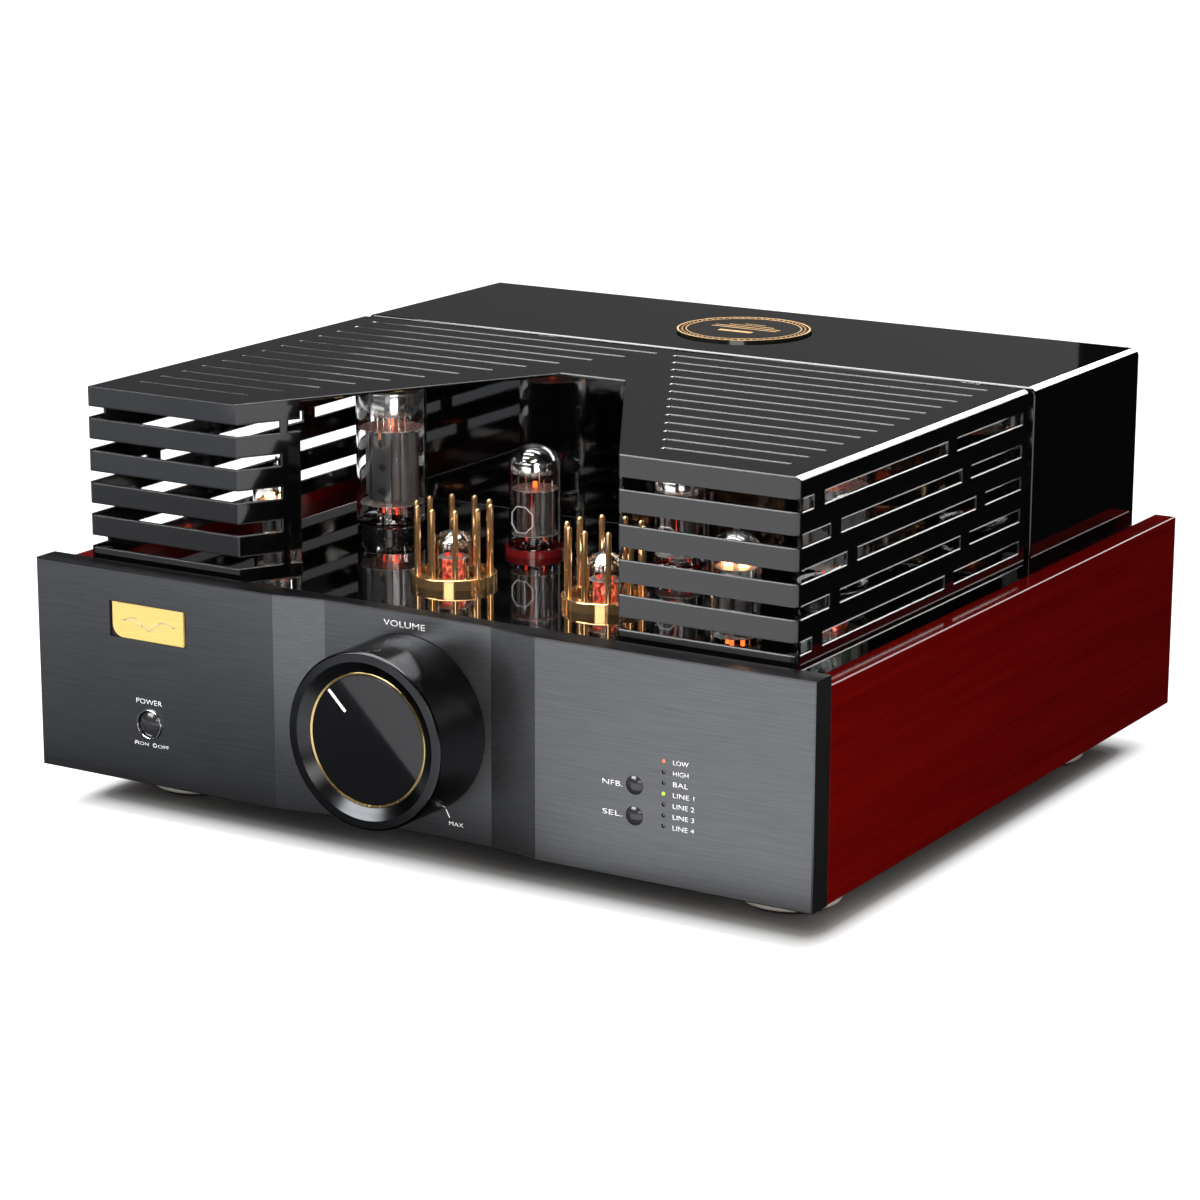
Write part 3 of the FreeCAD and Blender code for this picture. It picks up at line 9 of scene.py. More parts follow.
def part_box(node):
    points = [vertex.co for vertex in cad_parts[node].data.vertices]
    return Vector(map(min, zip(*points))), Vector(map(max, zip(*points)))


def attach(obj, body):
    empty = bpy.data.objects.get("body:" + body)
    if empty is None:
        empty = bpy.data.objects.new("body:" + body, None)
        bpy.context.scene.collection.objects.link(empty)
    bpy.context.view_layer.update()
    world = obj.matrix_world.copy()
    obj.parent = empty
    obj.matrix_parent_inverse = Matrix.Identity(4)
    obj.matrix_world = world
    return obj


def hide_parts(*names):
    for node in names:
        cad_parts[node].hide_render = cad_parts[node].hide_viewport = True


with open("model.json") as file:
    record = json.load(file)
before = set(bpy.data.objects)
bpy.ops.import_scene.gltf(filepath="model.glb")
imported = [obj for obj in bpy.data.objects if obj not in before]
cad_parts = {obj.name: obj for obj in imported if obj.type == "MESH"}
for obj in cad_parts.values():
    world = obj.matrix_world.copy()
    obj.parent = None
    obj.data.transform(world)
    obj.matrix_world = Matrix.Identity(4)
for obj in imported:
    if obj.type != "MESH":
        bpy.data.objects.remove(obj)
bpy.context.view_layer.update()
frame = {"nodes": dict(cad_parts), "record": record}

# The looks of a stereo tube amplifier. Places are in millimetres from the case corner line (the bottom
# edge of the front panel's face, on the centre line), heights of tube parts from the deck.
FRONT, FLOOR, DECK = -189.25, 20.5, 90.5
scene = bpy.context.scene


def at(x, y, z):
    return Vector((x / 1000, (y + FRONT) / 1000, (z + FLOOR) / 1000))


# ---------------------------------------------------------------- materials

class Paint:
    """A principled material, and short ways to add nodes that feed it."""

    def __init__(self, name, **values):
        self.material = bpy.data.materials.new(name)
        self.material.use_nodes = True
        self.tree = self.material.node_tree
        self.shader = self.tree.nodes["Principled BSDF"]
        for key, value in values.items():
            self.set(key.replace("_", " "), value)

    def set(self, socket, value):
        if isinstance(value, tuple) and len(value) == 3:
            value = (*value, 1.0)
        self.shader.inputs[socket].default_value = value

    def node(self, kind, inputs=None, **settings):
        made = self.tree.nodes.new(kind)
        for key, value in settings.items():
            setattr(made, key, value)
        for key, value in (inputs or {}).items():
            if isinstance(value, bpy.types.NodeSocket):
                self.tree.links.new(value, made.inputs[key])
            else:
                made.inputs[key].default_value = value
        return made

    def feed(self, socket, source):
        self.tree.links.new(source, self.shader.inputs[socket])

    def coords(self, scale, turn=(0, 0, 0)):
        place = self.node("ShaderNodeTexCoord").outputs["Object"]
        return self.node("ShaderNodeMapping", {"Vector": place, "Scale": scale, "Rotation": turn}).outputs[0]

    def noise(self, scale, detail=3.0, rough=0.55, warp=0.0, place=None):
        if place is None:
            place = self.coords(scale)
        return self.node("ShaderNodeTexNoise", {"Vector": place, "Scale": 1.0, "Detail": detail,
                                                "Roughness": rough, "Distortion": warp}).outputs["Fac"]

    def span(self, source, low, high, start=0.3, stop=0.7):
        return self.node("ShaderNodeMapRange", {"Value": source, "From Min": start, "From Max": stop,
                                                "To Min": low, "To Max": high}).outputs[0]

    def shade(self, source, *stops):
        ramp = self.node("ShaderNodeValToRGB", {"Fac": source})
        line = ramp.color_ramp.elements
        while len(line) < len(stops):
            line.new(0.5)
        for element, (position, colour) in zip(line, stops):
            element.position = position
            element.color = (*colour, 1.0)
        return ramp.outputs["Color"]

    def mix(self, amount, first, second, way="MIX"):
        made = self.tree.nodes.new("ShaderNodeMix")
        made.data_type, made.blend_type = "RGBA", way
        for index, value in ((0, amount), (6, first), (7, second)):
            if isinstance(value, bpy.types.NodeSocket):
                self.tree.links.new(value, made.inputs[index])
            else:
                made.inputs[index].default_value = (*value, 1.0) if isinstance(value, tuple) else value
        return made.outputs[2]

    def math(self, way, first, second=0.5):
        made = self.tree.nodes.new("ShaderNodeMath")
        made.operation = way
        for index, value in ((0, first), (1, second)):
            if isinstance(value, bpy.types.NodeSocket):
                self.tree.links.new(value, made.inputs[index])
            else:
                made.inputs[index].default_value = value
        return made.outputs[0]

    def bump(self, height, strength, depth=0.0005, edge=0.0):
        """Surface relief; with an edge radius, sharp corners are shaded as small rounds."""
        made = self.node("ShaderNodeBump", {"Height": height, "Strength": strength, "Distance": depth})
        if edge:
            soft = self.node("ShaderNodeBevel", {"Radius": edge}, samples=4).outputs[0]
            self.tree.links.new(soft, made.inputs["Normal"])
        self.feed("Normal", made.outputs[0])


def brushed(name, dark, light, rough, along=(45, 1700, 5200), metallic=0.98):
    """Fine straight brushing along X, with a slow drift of tone; faces that look up are painted nearly black, a
    painted shade standing for their dark reflection.
    """
    paint = Paint(name, Metallic=metallic, Anisotropic=0.55)
    fine = paint.noise(along, 2.0, 0.6)
    coarse = paint.noise((along[0] * 0.9, along[1] * 0.45, along[2] * 0.38), 2.0, 0.5)
    tone = paint.math("ADD", paint.math("MULTIPLY", fine, 0.5), paint.math("MULTIPLY", coarse, 0.5))
    # Painted shade: faces that turn upward are darkened in the base colour, standing for the dark reflection they
    # show.
    shade_facing_up = paint.node("ShaderNodeSeparateXYZ", {0: paint.node("ShaderNodeNewGeometry").outputs["Normal"]}).outputs[2]
    colour = paint.shade(tone, (0.38, dark), (0.62, light))
    paint.feed("Base Color", paint.mix(paint.span(shade_facing_up, 0.0, 1.0, 0.3, 0.6), colour, (0.02, 0.02, 0.022)))
    paint.feed("Roughness", paint.span(tone, rough[0], rough[1], 0.35, 0.65))
    paint.bump(tone, 0.015, 0.00003)
    tangent = paint.node("ShaderNodeTangent", direction_type="RADIAL", axis="Z").outputs[0]
    paint.feed("Tangent", tangent)
    return paint.material


def metal(name, colour, rough, scuff=(400, 400, 400), tone=0.06, bump=0.02, metallic=1.0):
    paint = Paint(name, Metallic=metallic)
    cloud = paint.noise(scuff, 4.0, 0.6)
    wide = paint.noise((60, 60, 60), 2.0)
    darker = tuple(c * (1 - tone * 2.2) for c in colour)
    paint.feed("Base Color", paint.shade(wide, (0.3, darker), (0.7, colour)))
    paint.feed("Roughness", paint.span(cloud, rough[0], rough[1]))
    paint.bump(cloud, bump, 0.0001)
    return paint.material


def gloss(name, colour, rough, coat=1.0, peel=0.03, specular=0.5, edge=0.0):
    """Lacquer with a slight orange peel and a trace of dust in its roughness."""
    paint = Paint(name, Coat_Weight=coat, Coat_Roughness=0.025, Specular_IOR_Level=specular)
    wave = paint.noise((150, 150, 150), 1.0)
    dust = paint.noise((900, 900, 900), 3.0, 0.65)
    deep = tuple(c * 0.7 for c in colour)
    tone = paint.shade(paint.noise((25, 25, 25), 3.0), (0.3, deep), (0.7, colour))
    paint.feed("Base Color", tone)
    paint.feed("Roughness", paint.span(dust, rough[0], rough[1]))
    paint.bump(wave, peel, 0.0003, edge)
    if edge:
        paint.tree.links.new(paint.shader.inputs["Normal"].links[0].from_socket, paint.shader.inputs["Coat Normal"])
    return paint.material


def plastic(name, colour, rough, grain=1600, bump=0.12, **more):
    paint = Paint(name, **more)
    speck = paint.noise((grain, grain, grain), 3.0, 0.6)
    deep = tuple(c * 0.72 for c in colour)
    paint.feed("Base Color", paint.shade(paint.noise((90, 90, 90), 3.0), (0.3, deep), (0.7, colour)))
    paint.feed("Roughness", paint.span(speck, rough[0], rough[1]))
    paint.bump(speck, bump, 0.0001)
    return paint.material


def glow(name, colour, strength, base=(0.02, 0.02, 0.02), low=0.55, patch=(700, 700, 350), hot=None):
    """Lit metal or lens in patches, from a dim share of its colour up to a brighter colour where one is given: that
    top colour is a painted highlight, not hotter metal.
    """
    paint = Paint(name, Base_Color=base, Roughness=0.4, Emission_Strength=strength)
    dim = tuple(c * low for c in colour)
    cloud = paint.noise(patch, 3.0)
    paint.feed("Emission Color", paint.shade(cloud, (0.40, dim), (0.52, colour), (0.62, hot or colour)))
    return paint.material


def wood(name):
    """Deep red lacquered veneer: long dark figure lines and fine pores along Y."""
    paint = Paint(name, Coat_Weight=0.45, Coat_Roughness=0.08, Specular_IOR_Level=0.0)
    sway = paint.noise((5, 2.4, 12), 2.0, 0.5, 0.4)
    place = paint.coords((60, 3.0, 110), (math.radians(-6), 0, 0))
    bend = paint.node("ShaderNodeVectorMath", {0: place, 1: sway}, operation="ADD").outputs[0]
    figure = paint.noise(None, 5.0, 0.62, 1.1, bend)
    streak = paint.noise((420, 9, 520), 3.0, 0.6, 0.2)
    pore = paint.noise((1500, 42, 1700), 2.0, 0.6)
    tone = paint.math("ADD", paint.math("MULTIPLY", figure, 0.7), paint.math("MULTIPLY", streak, 0.3))
    colour = paint.shade(tone, (0.30, (0.052, 0.0004, 0.0003)), (0.46, (0.068, 0.0007, 0.0006)),
                         (0.56, (0.077, 0.0010, 0.0008)), (0.70, (0.088, 0.0016, 0.0012)))
    dark = paint.shade(pore, (0.36, (0.35, 0.25, 0.25)), (0.5, (1.0, 1.0, 1.0)))
    paint.feed("Base Color", paint.mix(0.12, colour, dark, "MULTIPLY"))
    paint.feed("Roughness", paint.span(tone, 0.38, 0.28, 0.35, 0.65))
    paint.bump(pore, 0.015, 0.0001)
    return paint.material


def glass(name, tint=(1.0, 1.0, 1.0), index=1.40):
    paint = Paint(name, Base_Color=tint, Transmission_Weight=1.0, IOR=index, Metallic=0.0)
    smear = paint.noise((120, 120, 240), 3.0, 0.6)
    paint.feed("Roughness", paint.span(smear, 0.0, 0.03, 0.45, 0.8))
    paint.bump(paint.noise((70, 70, 40), 1.0), 0.02, 0.0004)
    return paint.material


WAVE = 0.3142       # the length of one band of a wave texture at scale one


def lines(name, colour, gap, direction, pitch, rough=(0.3, 0.5), metallic=0.7, strength=0.6):
    """Even bands: the edges of stacked sheets, or the turns of a winding."""
    paint = Paint(name, Metallic=metallic)
    band = paint.node("ShaderNodeTexWave", {"Vector": paint.coords((1, 1, 1)), "Scale": WAVE / pitch / 2,
                                            "Distortion": 0.4, "Detail": 1.0},
                      bands_direction=direction).outputs["Fac"]
    paint.feed("Base Color", paint.shade(band, (0.1, gap), (0.5, colour)))
    paint.feed("Roughness", paint.span(paint.noise((300, 300, 300)), rough[0], rough[1]))
    paint.bump(band, strength, 0.0003)
    return paint.material


def board(name):
    """Solder mask with lighter tracks."""
    paint = Paint(name, Coat_Weight=0.4, Coat_Roughness=0.15)
    track = paint.node("ShaderNodeTexBrick", {"Vector": paint.coords((160, 160, 160)), "Scale": 1.0,
                                              "Mortar Size": 0.07, "Color1": (0.008, 0.075, 0.025, 1),
                                              "Color2": (0.012, 0.09, 0.03, 1),
                                              "Mortar": (0.03, 0.17, 0.06, 1)}).outputs["Color"]
    paint.feed("Base Color", track)
    paint.feed("Roughness", paint.span(paint.noise((500, 500, 500)), 0.3, 0.5))
    return paint.material


def print_ink(name, colour):
    paint = Paint(name, Roughness=0.5)
    speck = paint.noise((2500, 2500, 2500), 2.0)
    paint.feed("Base Color", paint.shade(speck, (0.2, tuple(c * 0.8 for c in colour)), (0.6, colour)))
    return paint.material


def getter_film(name, low, high):
    """Silver film on the inside of a bulb that thins out into clear glass below."""
    paint = Paint(name, Metallic=1.0)
    place = paint.node("ShaderNodeTexCoord").outputs["Object"]
    height = paint.node("ShaderNodeSeparateXYZ", {0: place}).outputs[2]
    patch = paint.noise((90, 90, 45), 3.0, 0.6, 0.5)
    drift = (high - low) * 0.9
    lift = paint.math("MULTIPLY_ADD", patch, drift)
    lift.node.inputs[2].default_value = -drift / 2
    level = paint.math("ADD", height, lift)
    cover = paint.span(level, 0.0, 1.0, low, high)
    paint.feed("Alpha", cover)
    paint.feed("Base Color", paint.shade(cover, (0.0, (0.25, 0.17, 0.11)), (0.45, (0.5, 0.46, 0.42)),
                                         (0.9, (0.86, 0.86, 0.85))))
    paint.feed("Roughness", paint.span(patch, 0.06, 0.2))
    return paint.material


LOOKS = {
    "panel_aluminium": brushed("panel_aluminium", (0.164, 0.167, 0.172), (0.215, 0.218, 0.223), (0.30, 0.33)),
    "gold_plate": metal("gold_plate", (0.95, 0.70, 0.30), (0.16, 0.28), (900, 900, 900)),
    "chrome": metal("chrome", (0.86, 0.88, 0.90), (0.05, 0.12)),
    "button_black": gloss("button_black", (0.020, 0.020, 0.022), (0.15, 0.25), 0.6),
    "dark_plastic": plastic("dark_plastic", (0.022, 0.022, 0.023), (0.42, 0.6)),
    "lamp_lens": plastic("lamp_lens", (0.06, 0.06, 0.06), (0.08, 0.15), 600, 0.02, Coat_Weight=0.6),
    "circuit_board": board("circuit_board"),
    "knob_aluminium": metal("knob_aluminium", (0.058, 0.059, 0.062), (0.17, 0.24), (60, 2600, 60), 0.08, 0.03),
    "dial_glass": gloss("dial_glass", (0.001, 0.001, 0.0015), (0.03, 0.06), 0.45, 0.0),
    "dial_white": print_ink("dial_white", (0.92, 0.92, 0.92)),
    "steel": metal("steel", (0.58, 0.58, 0.60), (0.25, 0.42), (900, 900, 900), 0.1, 0.1),
    "chassis_steel": plastic("chassis_steel", (0.016, 0.016, 0.017), (0.42, 0.55), 3200, 0.35),
    "gloss_black": gloss("gloss_black", (0.0012, 0.0012, 0.0013), (0.03, 0.06), 1.0, 0.02, 0.8, 0.0005),
    "cage_black": gloss("cage_black", (0.0015, 0.0014, 0.0015), (0.04, 0.08), 1.0, 0.02, 0.6, 0.0012),
    "medallion": gloss("medallion", (0.012, 0.010, 0.008), (0.12, 0.2), 1.0),
    "wood": wood("wood"),
    "rubber": plastic("rubber", (0.014, 0.014, 0.014), (0.7, 0.85), 1200, 0.3),
    "foot_metal": metal("foot_metal", (0.84, 0.80, 0.71), (0.25, 0.35), (60, 60, 2600), 0.04, 0.02, 0.3),
    "core_iron": lines("core_iron", (0.10, 0.10, 0.105), (0.02, 0.02, 0.02), "Y", 0.0012),
    "winding": lines("winding", (0.42, 0.20, 0.08), (0.12, 0.05, 0.02), "Z", 0.0016),
    "capacitor_sleeve": gloss("capacitor_sleeve", (0.010, 0.014, 0.035), (0.2, 0.3), 0.6),
    "socket_ceramic": plastic("socket_ceramic", (0.75, 0.73, 0.68), (0.25, 0.35), 900, 0.05, Coat_Weight=0.3),
    "guard_gold": metal("guard_gold", (1.0, 0.62, 0.28), (0.08, 0.13), (500, 500, 500), 0.04, 0.02, 0.92),
    "tube_glass": glass("tube_glass"),
    "anode_metal": metal("anode_metal", (0.14, 0.14, 0.15), (0.35, 0.5), (300, 300, 1500), 0.1, 0.1, 0.6),
    "base_black": gloss("base_black", (0.010, 0.010, 0.011), (0.2, 0.3), 0.7),
    "base_brown": gloss("base_brown", (0.21, 0.010, 0.012), (0.14, 0.22), 1.0),
    "connector_gold": metal("connector_gold", (0.90, 0.66, 0.30), (0.14, 0.24), (700, 700, 700)),
    "connector_black": plastic("connector_black", (0.020, 0.020, 0.022), (0.3, 0.42), 1500, 0.15),
}
for part in frame["record"]["subparts"]:
    mesh = frame["nodes"][part["node"]].data
    mesh.materials.clear()
    mesh.materials.append(LOOKS[part["material_slot"]])

INK = print_ink("legend_ink", (0.78, 0.80, 0.82))
GOLD_LINE = plastic("gold_line", (0.80, 0.50, 0.22), (0.3, 0.45), 900, 0.03, Metallic=0.3)
ENGRAVED = print_ink("engraved_line", (0.98, 0.92, 0.66))
MICA = plastic("mica", (0.62, 0.60, 0.57), (0.2, 0.35), 500, 0.05, Alpha=0.85)
# Painted glow: these upper mica discs give off a faint red light of their own, standing for the heater's glow falling
# on them.
MICA_PAINTED_GLOW = plastic("mica_painted_glow", (0.56, 0.44, 0.41), (0.2, 0.35), 500, 0.05, Emission_Color=(1.0, 0.16, 0.10),
                    Emission_Strength=0.022)
BADGE_GOLD = brushed("badge_gold", (0.72, 0.53, 0.16), (0.80, 0.60, 0.20), (0.32, 0.42), metallic=0.35)
frame["nodes"]["badge_plate"].data.materials[0] = BADGE_GOLD
GREY_PLATE = metal("grey_plate", (0.21, 0.21, 0.215), (0.34, 0.5), (200, 200, 1600), 0.14, 0.12, 0.6)
BRIGHT_WIRE = metal("bright_wire", (0.80, 0.78, 0.75), (0.12, 0.22))
PRESS_GLASS = glass("press_glass", (0.95, 0.97, 1.0))
ORANGE = glow("orange_glow", (1.0, 0.13, 0.02), 3.0)
RED = glow("red_glow", (1.0, 0.05, 0.02), 1.3)
WHITE_HOT = glow("white_hot", (1.0, 0.40, 0.14), 14.0)
# Painted glow: the guarded tubes' plates give off red light of their own, with painted highlights in orange-white
# patches, standing for heater light on them.
PLATE_PAINTED_GLOW = glow("plate_painted_glow", (0.62, 0.03, 0.015), 0.95, (0.22, 0.05, 0.04), 0.02, (620, 620, 480),
                (1.0, 0.28, 0.12))
LAMP_RED = glow("lamp_red", (1.0, 0.20, 0.12), 1.6)
LAMP_GREEN = glow("lamp_green", (0.45, 0.9, 0.05), 1.6)


# ---------------------------------------------------------------- piece building

def finish_piece(name, bm, material, body="case", smooth=True, angle=35):
    mesh = bpy.data.meshes.new(name)
    bmesh.ops.recalc_face_normals(bm, faces=bm.faces)
    bm.to_mesh(mesh)
    bm.free()
    mesh.materials.append(material)
    piece = bpy.data.objects.new(name, mesh)
    scene.collection.objects.link(piece)
    if smooth:
        mesh.shade_smooth()
        mesh.set_sharp_from_angle(angle=math.radians(angle))
    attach(piece, body)
    return piece


def wall(bm, low, high):
    """Faces between two closed rings of vertices."""
    for step in range(len(low)):
        after = (step + 1) % len(low)
        bm.faces.new((low[step], low[after], high[after], high[step]))


def lathe(bm, profile, centre, steps=48, axis="Z"):
    """Turn a list of (radius, height) millimetres around an upright or a forward axis."""
    rings = []
    for radius, height in profile:
        ring = []
        for step in range(steps):
            turn = math.tau * step / steps
            across, over = radius * math.cos(turn), radius * math.sin(turn)
            offset = (across, over, height) if axis == "Z" else (across, -height, over)
            ring.append(bm.verts.new(centre + Vector(offset) / 1000))
        rings.append(ring)
    for low, high in zip(rings, rings[1:]):
        wall(bm, low, high)


def tube_along(bm, points, radius, sides=10):
    """A round bar through points in metres, with flat ends."""
    rings = []
    for index, point in enumerate(points):
        before, after = points[max(index - 1, 0)], points[min(index + 1, len(points) - 1)]
        ahead = (after - before).normalized()
        aside = ahead.orthogonal().normalized()
        over = ahead.cross(aside)
        rings.append([bm.verts.new(point + (aside * math.cos(math.tau * s / sides)
                                            + over * math.sin(math.tau * s / sides)) * radius / 1000)
                      for s in range(sides)])
    for low, high in zip(rings, rings[1:]):
        wall(bm, low, high)
    bm.faces.new(rings[0])
    bm.faces.new(rings[-1])


def slab(bm, low, high):
    """A box between two corners in metres."""
    made = bmesh.ops.create_cube(bm, size=1.0)["verts"]
    size, middle = high - low, (high + low) / 2
    for vert in made:
        vert.co = Vector((vert.co.x * size.x, vert.co.y * size.y, vert.co.z * size.z)) + middle


def plate_outline(bm, points, low, high, centre):
    """A flat plate with a plan outline in millimetres, between two heights."""
    under = [bm.verts.new(centre + Vector((x, y, low)) / 1000) for x, y in points]
    over = [bm.verts.new(centre + Vector((x, y, high)) / 1000) for x, y in points]
    bm.faces.new(under)
    bm.faces.new(over)
    wall(bm, under, over)


def toothed(radius, teeth, depth, steps=6):
    """A round outline whose rim has short teeth."""
    points = []
    for index in range(teeth * steps):
        turn = math.tau * index / (teeth * steps)
        wave = 1.0 if index % steps < steps // 2 else 0.0
        reach = radius - depth * wave
        points.append((reach * math.cos(turn), reach * math.sin(turn)))
    return points


# ---------------------------------------------------------------- legends and ornaments

INK_DEPTH = 0.04
PANEL_RECESS = 4.6
RECESS, FACE, REAR = PANEL_RECESS - INK_DEPTH, -INK_DEPTH, 386.5 + INK_DEPTH


def legend(name, words, low, high, y, body="case", facing="front"):
    """Printed words, stretched to fill a box: low and high are (x, z), in millimetres."""
    curve = bpy.data.curves.new(name, "FONT")
    curve.body = words
    curve.size = 0.01
    curve.offset = -0.0001      # strokes a little finer than the typeface's own
    curve.resolution_u = 3
    draft = bpy.data.objects.new(name + "_draft", curve)
    scene.collection.objects.link(draft)
    bpy.context.view_layer.update()
    mesh = bpy.data.meshes.new_from_object(draft)
    bpy.data.objects.remove(draft)
    xs = [v.co.x for v in mesh.vertices]
    ys = [v.co.y for v in mesh.vertices]
    side = 1 if facing == "front" else -1
    for vert in mesh.vertices:
        across = (vert.co.x - min(xs)) / (max(xs) - min(xs))
        upward = (vert.co.y - min(ys)) / (max(ys) - min(ys))
        if side < 0:
            across = 1 - across
        vert.co = at(low[0] + (high[0] - low[0]) * across, y, low[1] + (high[1] - low[1]) * upward)
    mesh.name = name
    mesh.materials.clear()
    mesh.materials.append(INK)
    piece = bpy.data.objects.new(name, mesh)
    scene.collection.objects.link(piece)
    thick = piece.modifiers.new("ink", "SOLIDIFY")
    thick.thickness = INK_DEPTH / 1000
    thick.offset = 0
    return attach(piece, body)


legend("legend_power", "POWER", (-151.6, 39.4), (-136.4, 41.8), FACE)
legend("legend_on", "ON", (-150.2, 18.9), (-145.0, 20.5), FACE)
legend("legend_off", "OFF", (-139.4, 18.9), (-132.9, 20.5), FACE)
legend("legend_volume", "VOLUME", (-12.4, 95.6), (10.0, 98.4), RECESS)
legend("legend_max", "MAX", (22.2, 7.0), (29.8, 8.9), RECESS)
legend("legend_min", "MIN", (-29.2, 7.0), (-22.2, 8.9), RECESS)
legend("legend_feedback", "NFB.", (105.9, 41.6), (116.0, 43.9), FACE)
legend("legend_select", "SEL.", (105.9, 28.0), (116.0, 30.3), FACE)
LAMPS = ("LOW", "HIGH", "BAL", "LINE 1", "LINE 2", "LINE 3", "LINE 4")
LAMP_TOP, LAMP_STEP, LAMP_SIDE, LAMP_WORDS = 56.6, 4.9, 136.7, 141.4
for index, words in enumerate(LAMPS):
    level = LAMP_TOP - index * LAMP_STEP
    width = 7.6 if index < 3 else 10.6
    legend("legend_lamp_" + str(index + 1), words, (LAMP_WORDS, level - 1.1), (LAMP_WORDS + width, level + 1.0), FACE)


def strokes(name, runs, width, y, body="case", colour=INK):
    """Thin printed lines on a front face; each run is a list of (x, z)."""
    bm = bmesh.new()
    for run in runs:
        for (x0, z0), (x1, z1) in zip(run, run[1:]):
            ahead = Vector((x1 - x0, 0, z1 - z0)).normalized()
            aside = Vector((-ahead.z, 0, ahead.x)) * width / 2
            start, stop = Vector((x0, 0, z0)) - ahead * width / 2, Vector((x1, 0, z1)) + ahead * width / 2
            corners = (start - aside, stop - aside, stop + aside, start + aside)
            front = [bm.verts.new(at(p.x, y, p.z)) for p in corners]
            back = [bm.verts.new(at(p.x, y + INK_DEPTH, p.z)) for p in corners]
            bm.faces.new(front)
            wall(bm, front, back)
    return finish_piece(name, bm, colour, body, smooth=False)


def ticks():
    """The end marks of the volume travel, and the in and out marks of the power button."""
    turn, inner, outer, knob_level = math.radians(151), 42.6, 46.2, 51.2
    runs = []
    for sign in (-1, 1):
        runs.append([(sign * r * math.sin(turn), knob_level + r * math.cos(turn)) for r in (inner, outer)])
    strokes("volume_end_marks", runs, 0.45, RECESS)
    latch = []
    low, high, wide, past = 19.0, 20.5, 1.9, 0.1
    for x, drop in ((-153.0, 0.75), (-142.2, 0.0)):
        latch.append([(x, low), (x, high), (x + wide, high), (x + wide, low)])
        latch.append([(x - past, low + drop), (x + wide + past, low + drop)])
    strokes("latch_marks", latch, 0.3, FACE)


ticks()


def badge_ornament():
    """A flowing wave and its echo on the badge plate, and a dark sheet in the pocket behind it: painted shade for the
    shadow in the pocket.
    """
    low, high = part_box("badge_plate")
    face = low.y * 1000 - FRONT - 0.05
    pocket_low, pocket_high = at(-166.1, 1.5, 70.1), at(-121.1, 1.59, 87.1)
    left, right = low.x * 1000 + 5.5, high.x * 1000 - 4.5
    middle = (low.z + high.z) * 500 - FLOOR
    wave, echo, steps = [], [], 60
    for step in range(steps + 1):
        along = step / steps
        x = left + (right - left) * along
        swell = math.sin(along * math.pi)
        wave.append((x, middle + 3.4 * swell * math.sin(along * math.tau * 1.5)))
        echo.append((x, middle + 1.7 * swell * math.sin(along * math.tau * 1.5 + 0.5)))
    # Painted shade: a thin dark slab lines the badge's pocket, standing for the shadow round the plate.
    bm = bmesh.new()
    slab(bm, pocket_low, pocket_high)
    finish_piece("badge_pocket_painted_shade", bm, LOOKS["dark_plastic"], smooth=False)
    strokes("badge_wave", [wave], 0.4, face, colour=ENGRAVED)
    strokes("badge_wave_echo", [echo], 0.28, face, colour=ENGRAVED)


badge_ornament()


def medallion_ornament():
    """Gold rings with a ring of beads between them and a small plain bar, on the cover's round plate."""
    low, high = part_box("cover_medallion")
    centre = Vector(((low.x + high.x) / 2, (low.y + high.y) / 2, high.z))
    bm = bmesh.new()
    edge, bottom, face = 35.0, -1.2, -0.08
    lathe(bm, [(0.01, bottom), (edge, bottom), (edge, face), (0.01, face)], centre, 96)
    plate = finish_piece("medallion_plate", bm, LOOKS["medallion"])
    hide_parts("cover_medallion")
    bm = bmesh.new()
    sunk, beads, bead_ring = -0.2, 60, 31.6
    for inner, outer in ((33.4, 34.3), (29.3, 29.8)):
        lathe(bm, [(inner, sunk), (inner, 0.0), (outer, 0.0), (outer, sunk)], centre, 96)
    for index in range(beads):
        turn = math.tau * index / beads
        middle = centre + Vector((math.cos(turn), math.sin(turn), 0)) * bead_ring / 1000
        lathe(bm, [(0.6, sunk), (0.5, 0.0), (0.05, 0.0)], middle, 8)
    bars = ((12.5, 6.0, 0.5), (8.6, 13.0, 0.5), (4.2, 19.0, 0.7), (0.4, 19.0, 0.7), (-8.5, 9.5, 3.4))
    for level, half, thick in bars:
        slab(bm, centre + Vector((-half, level - thick / 2, sunk)) / 1000,
             centre + Vector((half, level + thick / 2, 0.0)) / 1000)
    finish_piece("medallion_lines", bm, GOLD_LINE)


medallion_ornament()


def lamp_faces():
    """Lit lenses over the two lamps that are on."""
    for index, name, material in ((0, "lamp_red", LAMP_RED), (3, "lamp_green", LAMP_GREEN)):
        bm = bmesh.new()
        centre = at(LAMP_SIDE, 0, LAMP_TOP - index * LAMP_STEP)
        lathe(bm, [(0.9, 0.05), (0.8, 0.25), (0.5, 0.4), (0.2, 0.48), (0.01, 0.5)], centre, 20, "Y")
        finish_piece(name, bm, material)


lamp_faces()


# ---------------------------------------------------------------- tubes

GLASS_WALL = 1.25
DOME = 0.62     # a bulb's dome height as a share of its radius


def mica_disc(name, radius, teeth, x, y, level, material=MICA):
    """A thin spacer disc with a toothed rim."""
    bm = bmesh.new()
    tooth, thick = 0.55, 0.35
    plate_outline(bm, toothed(radius, teeth, tooth), 0, thick, at(x, y, level))
    return finish_piece(name, bm, material, smooth=False)


def rods(name, places, low, high, radius, x, y, material, sides=10):
    """Upright round rods between two levels, at places given from the tube's middle."""
    bm = bmesh.new()
    for across, deep in places:
        tube_along(bm, [at(x + across, y + deep, low), at(x + across, y + deep, high)], radius, sides)
    return finish_piece(name, bm, material)


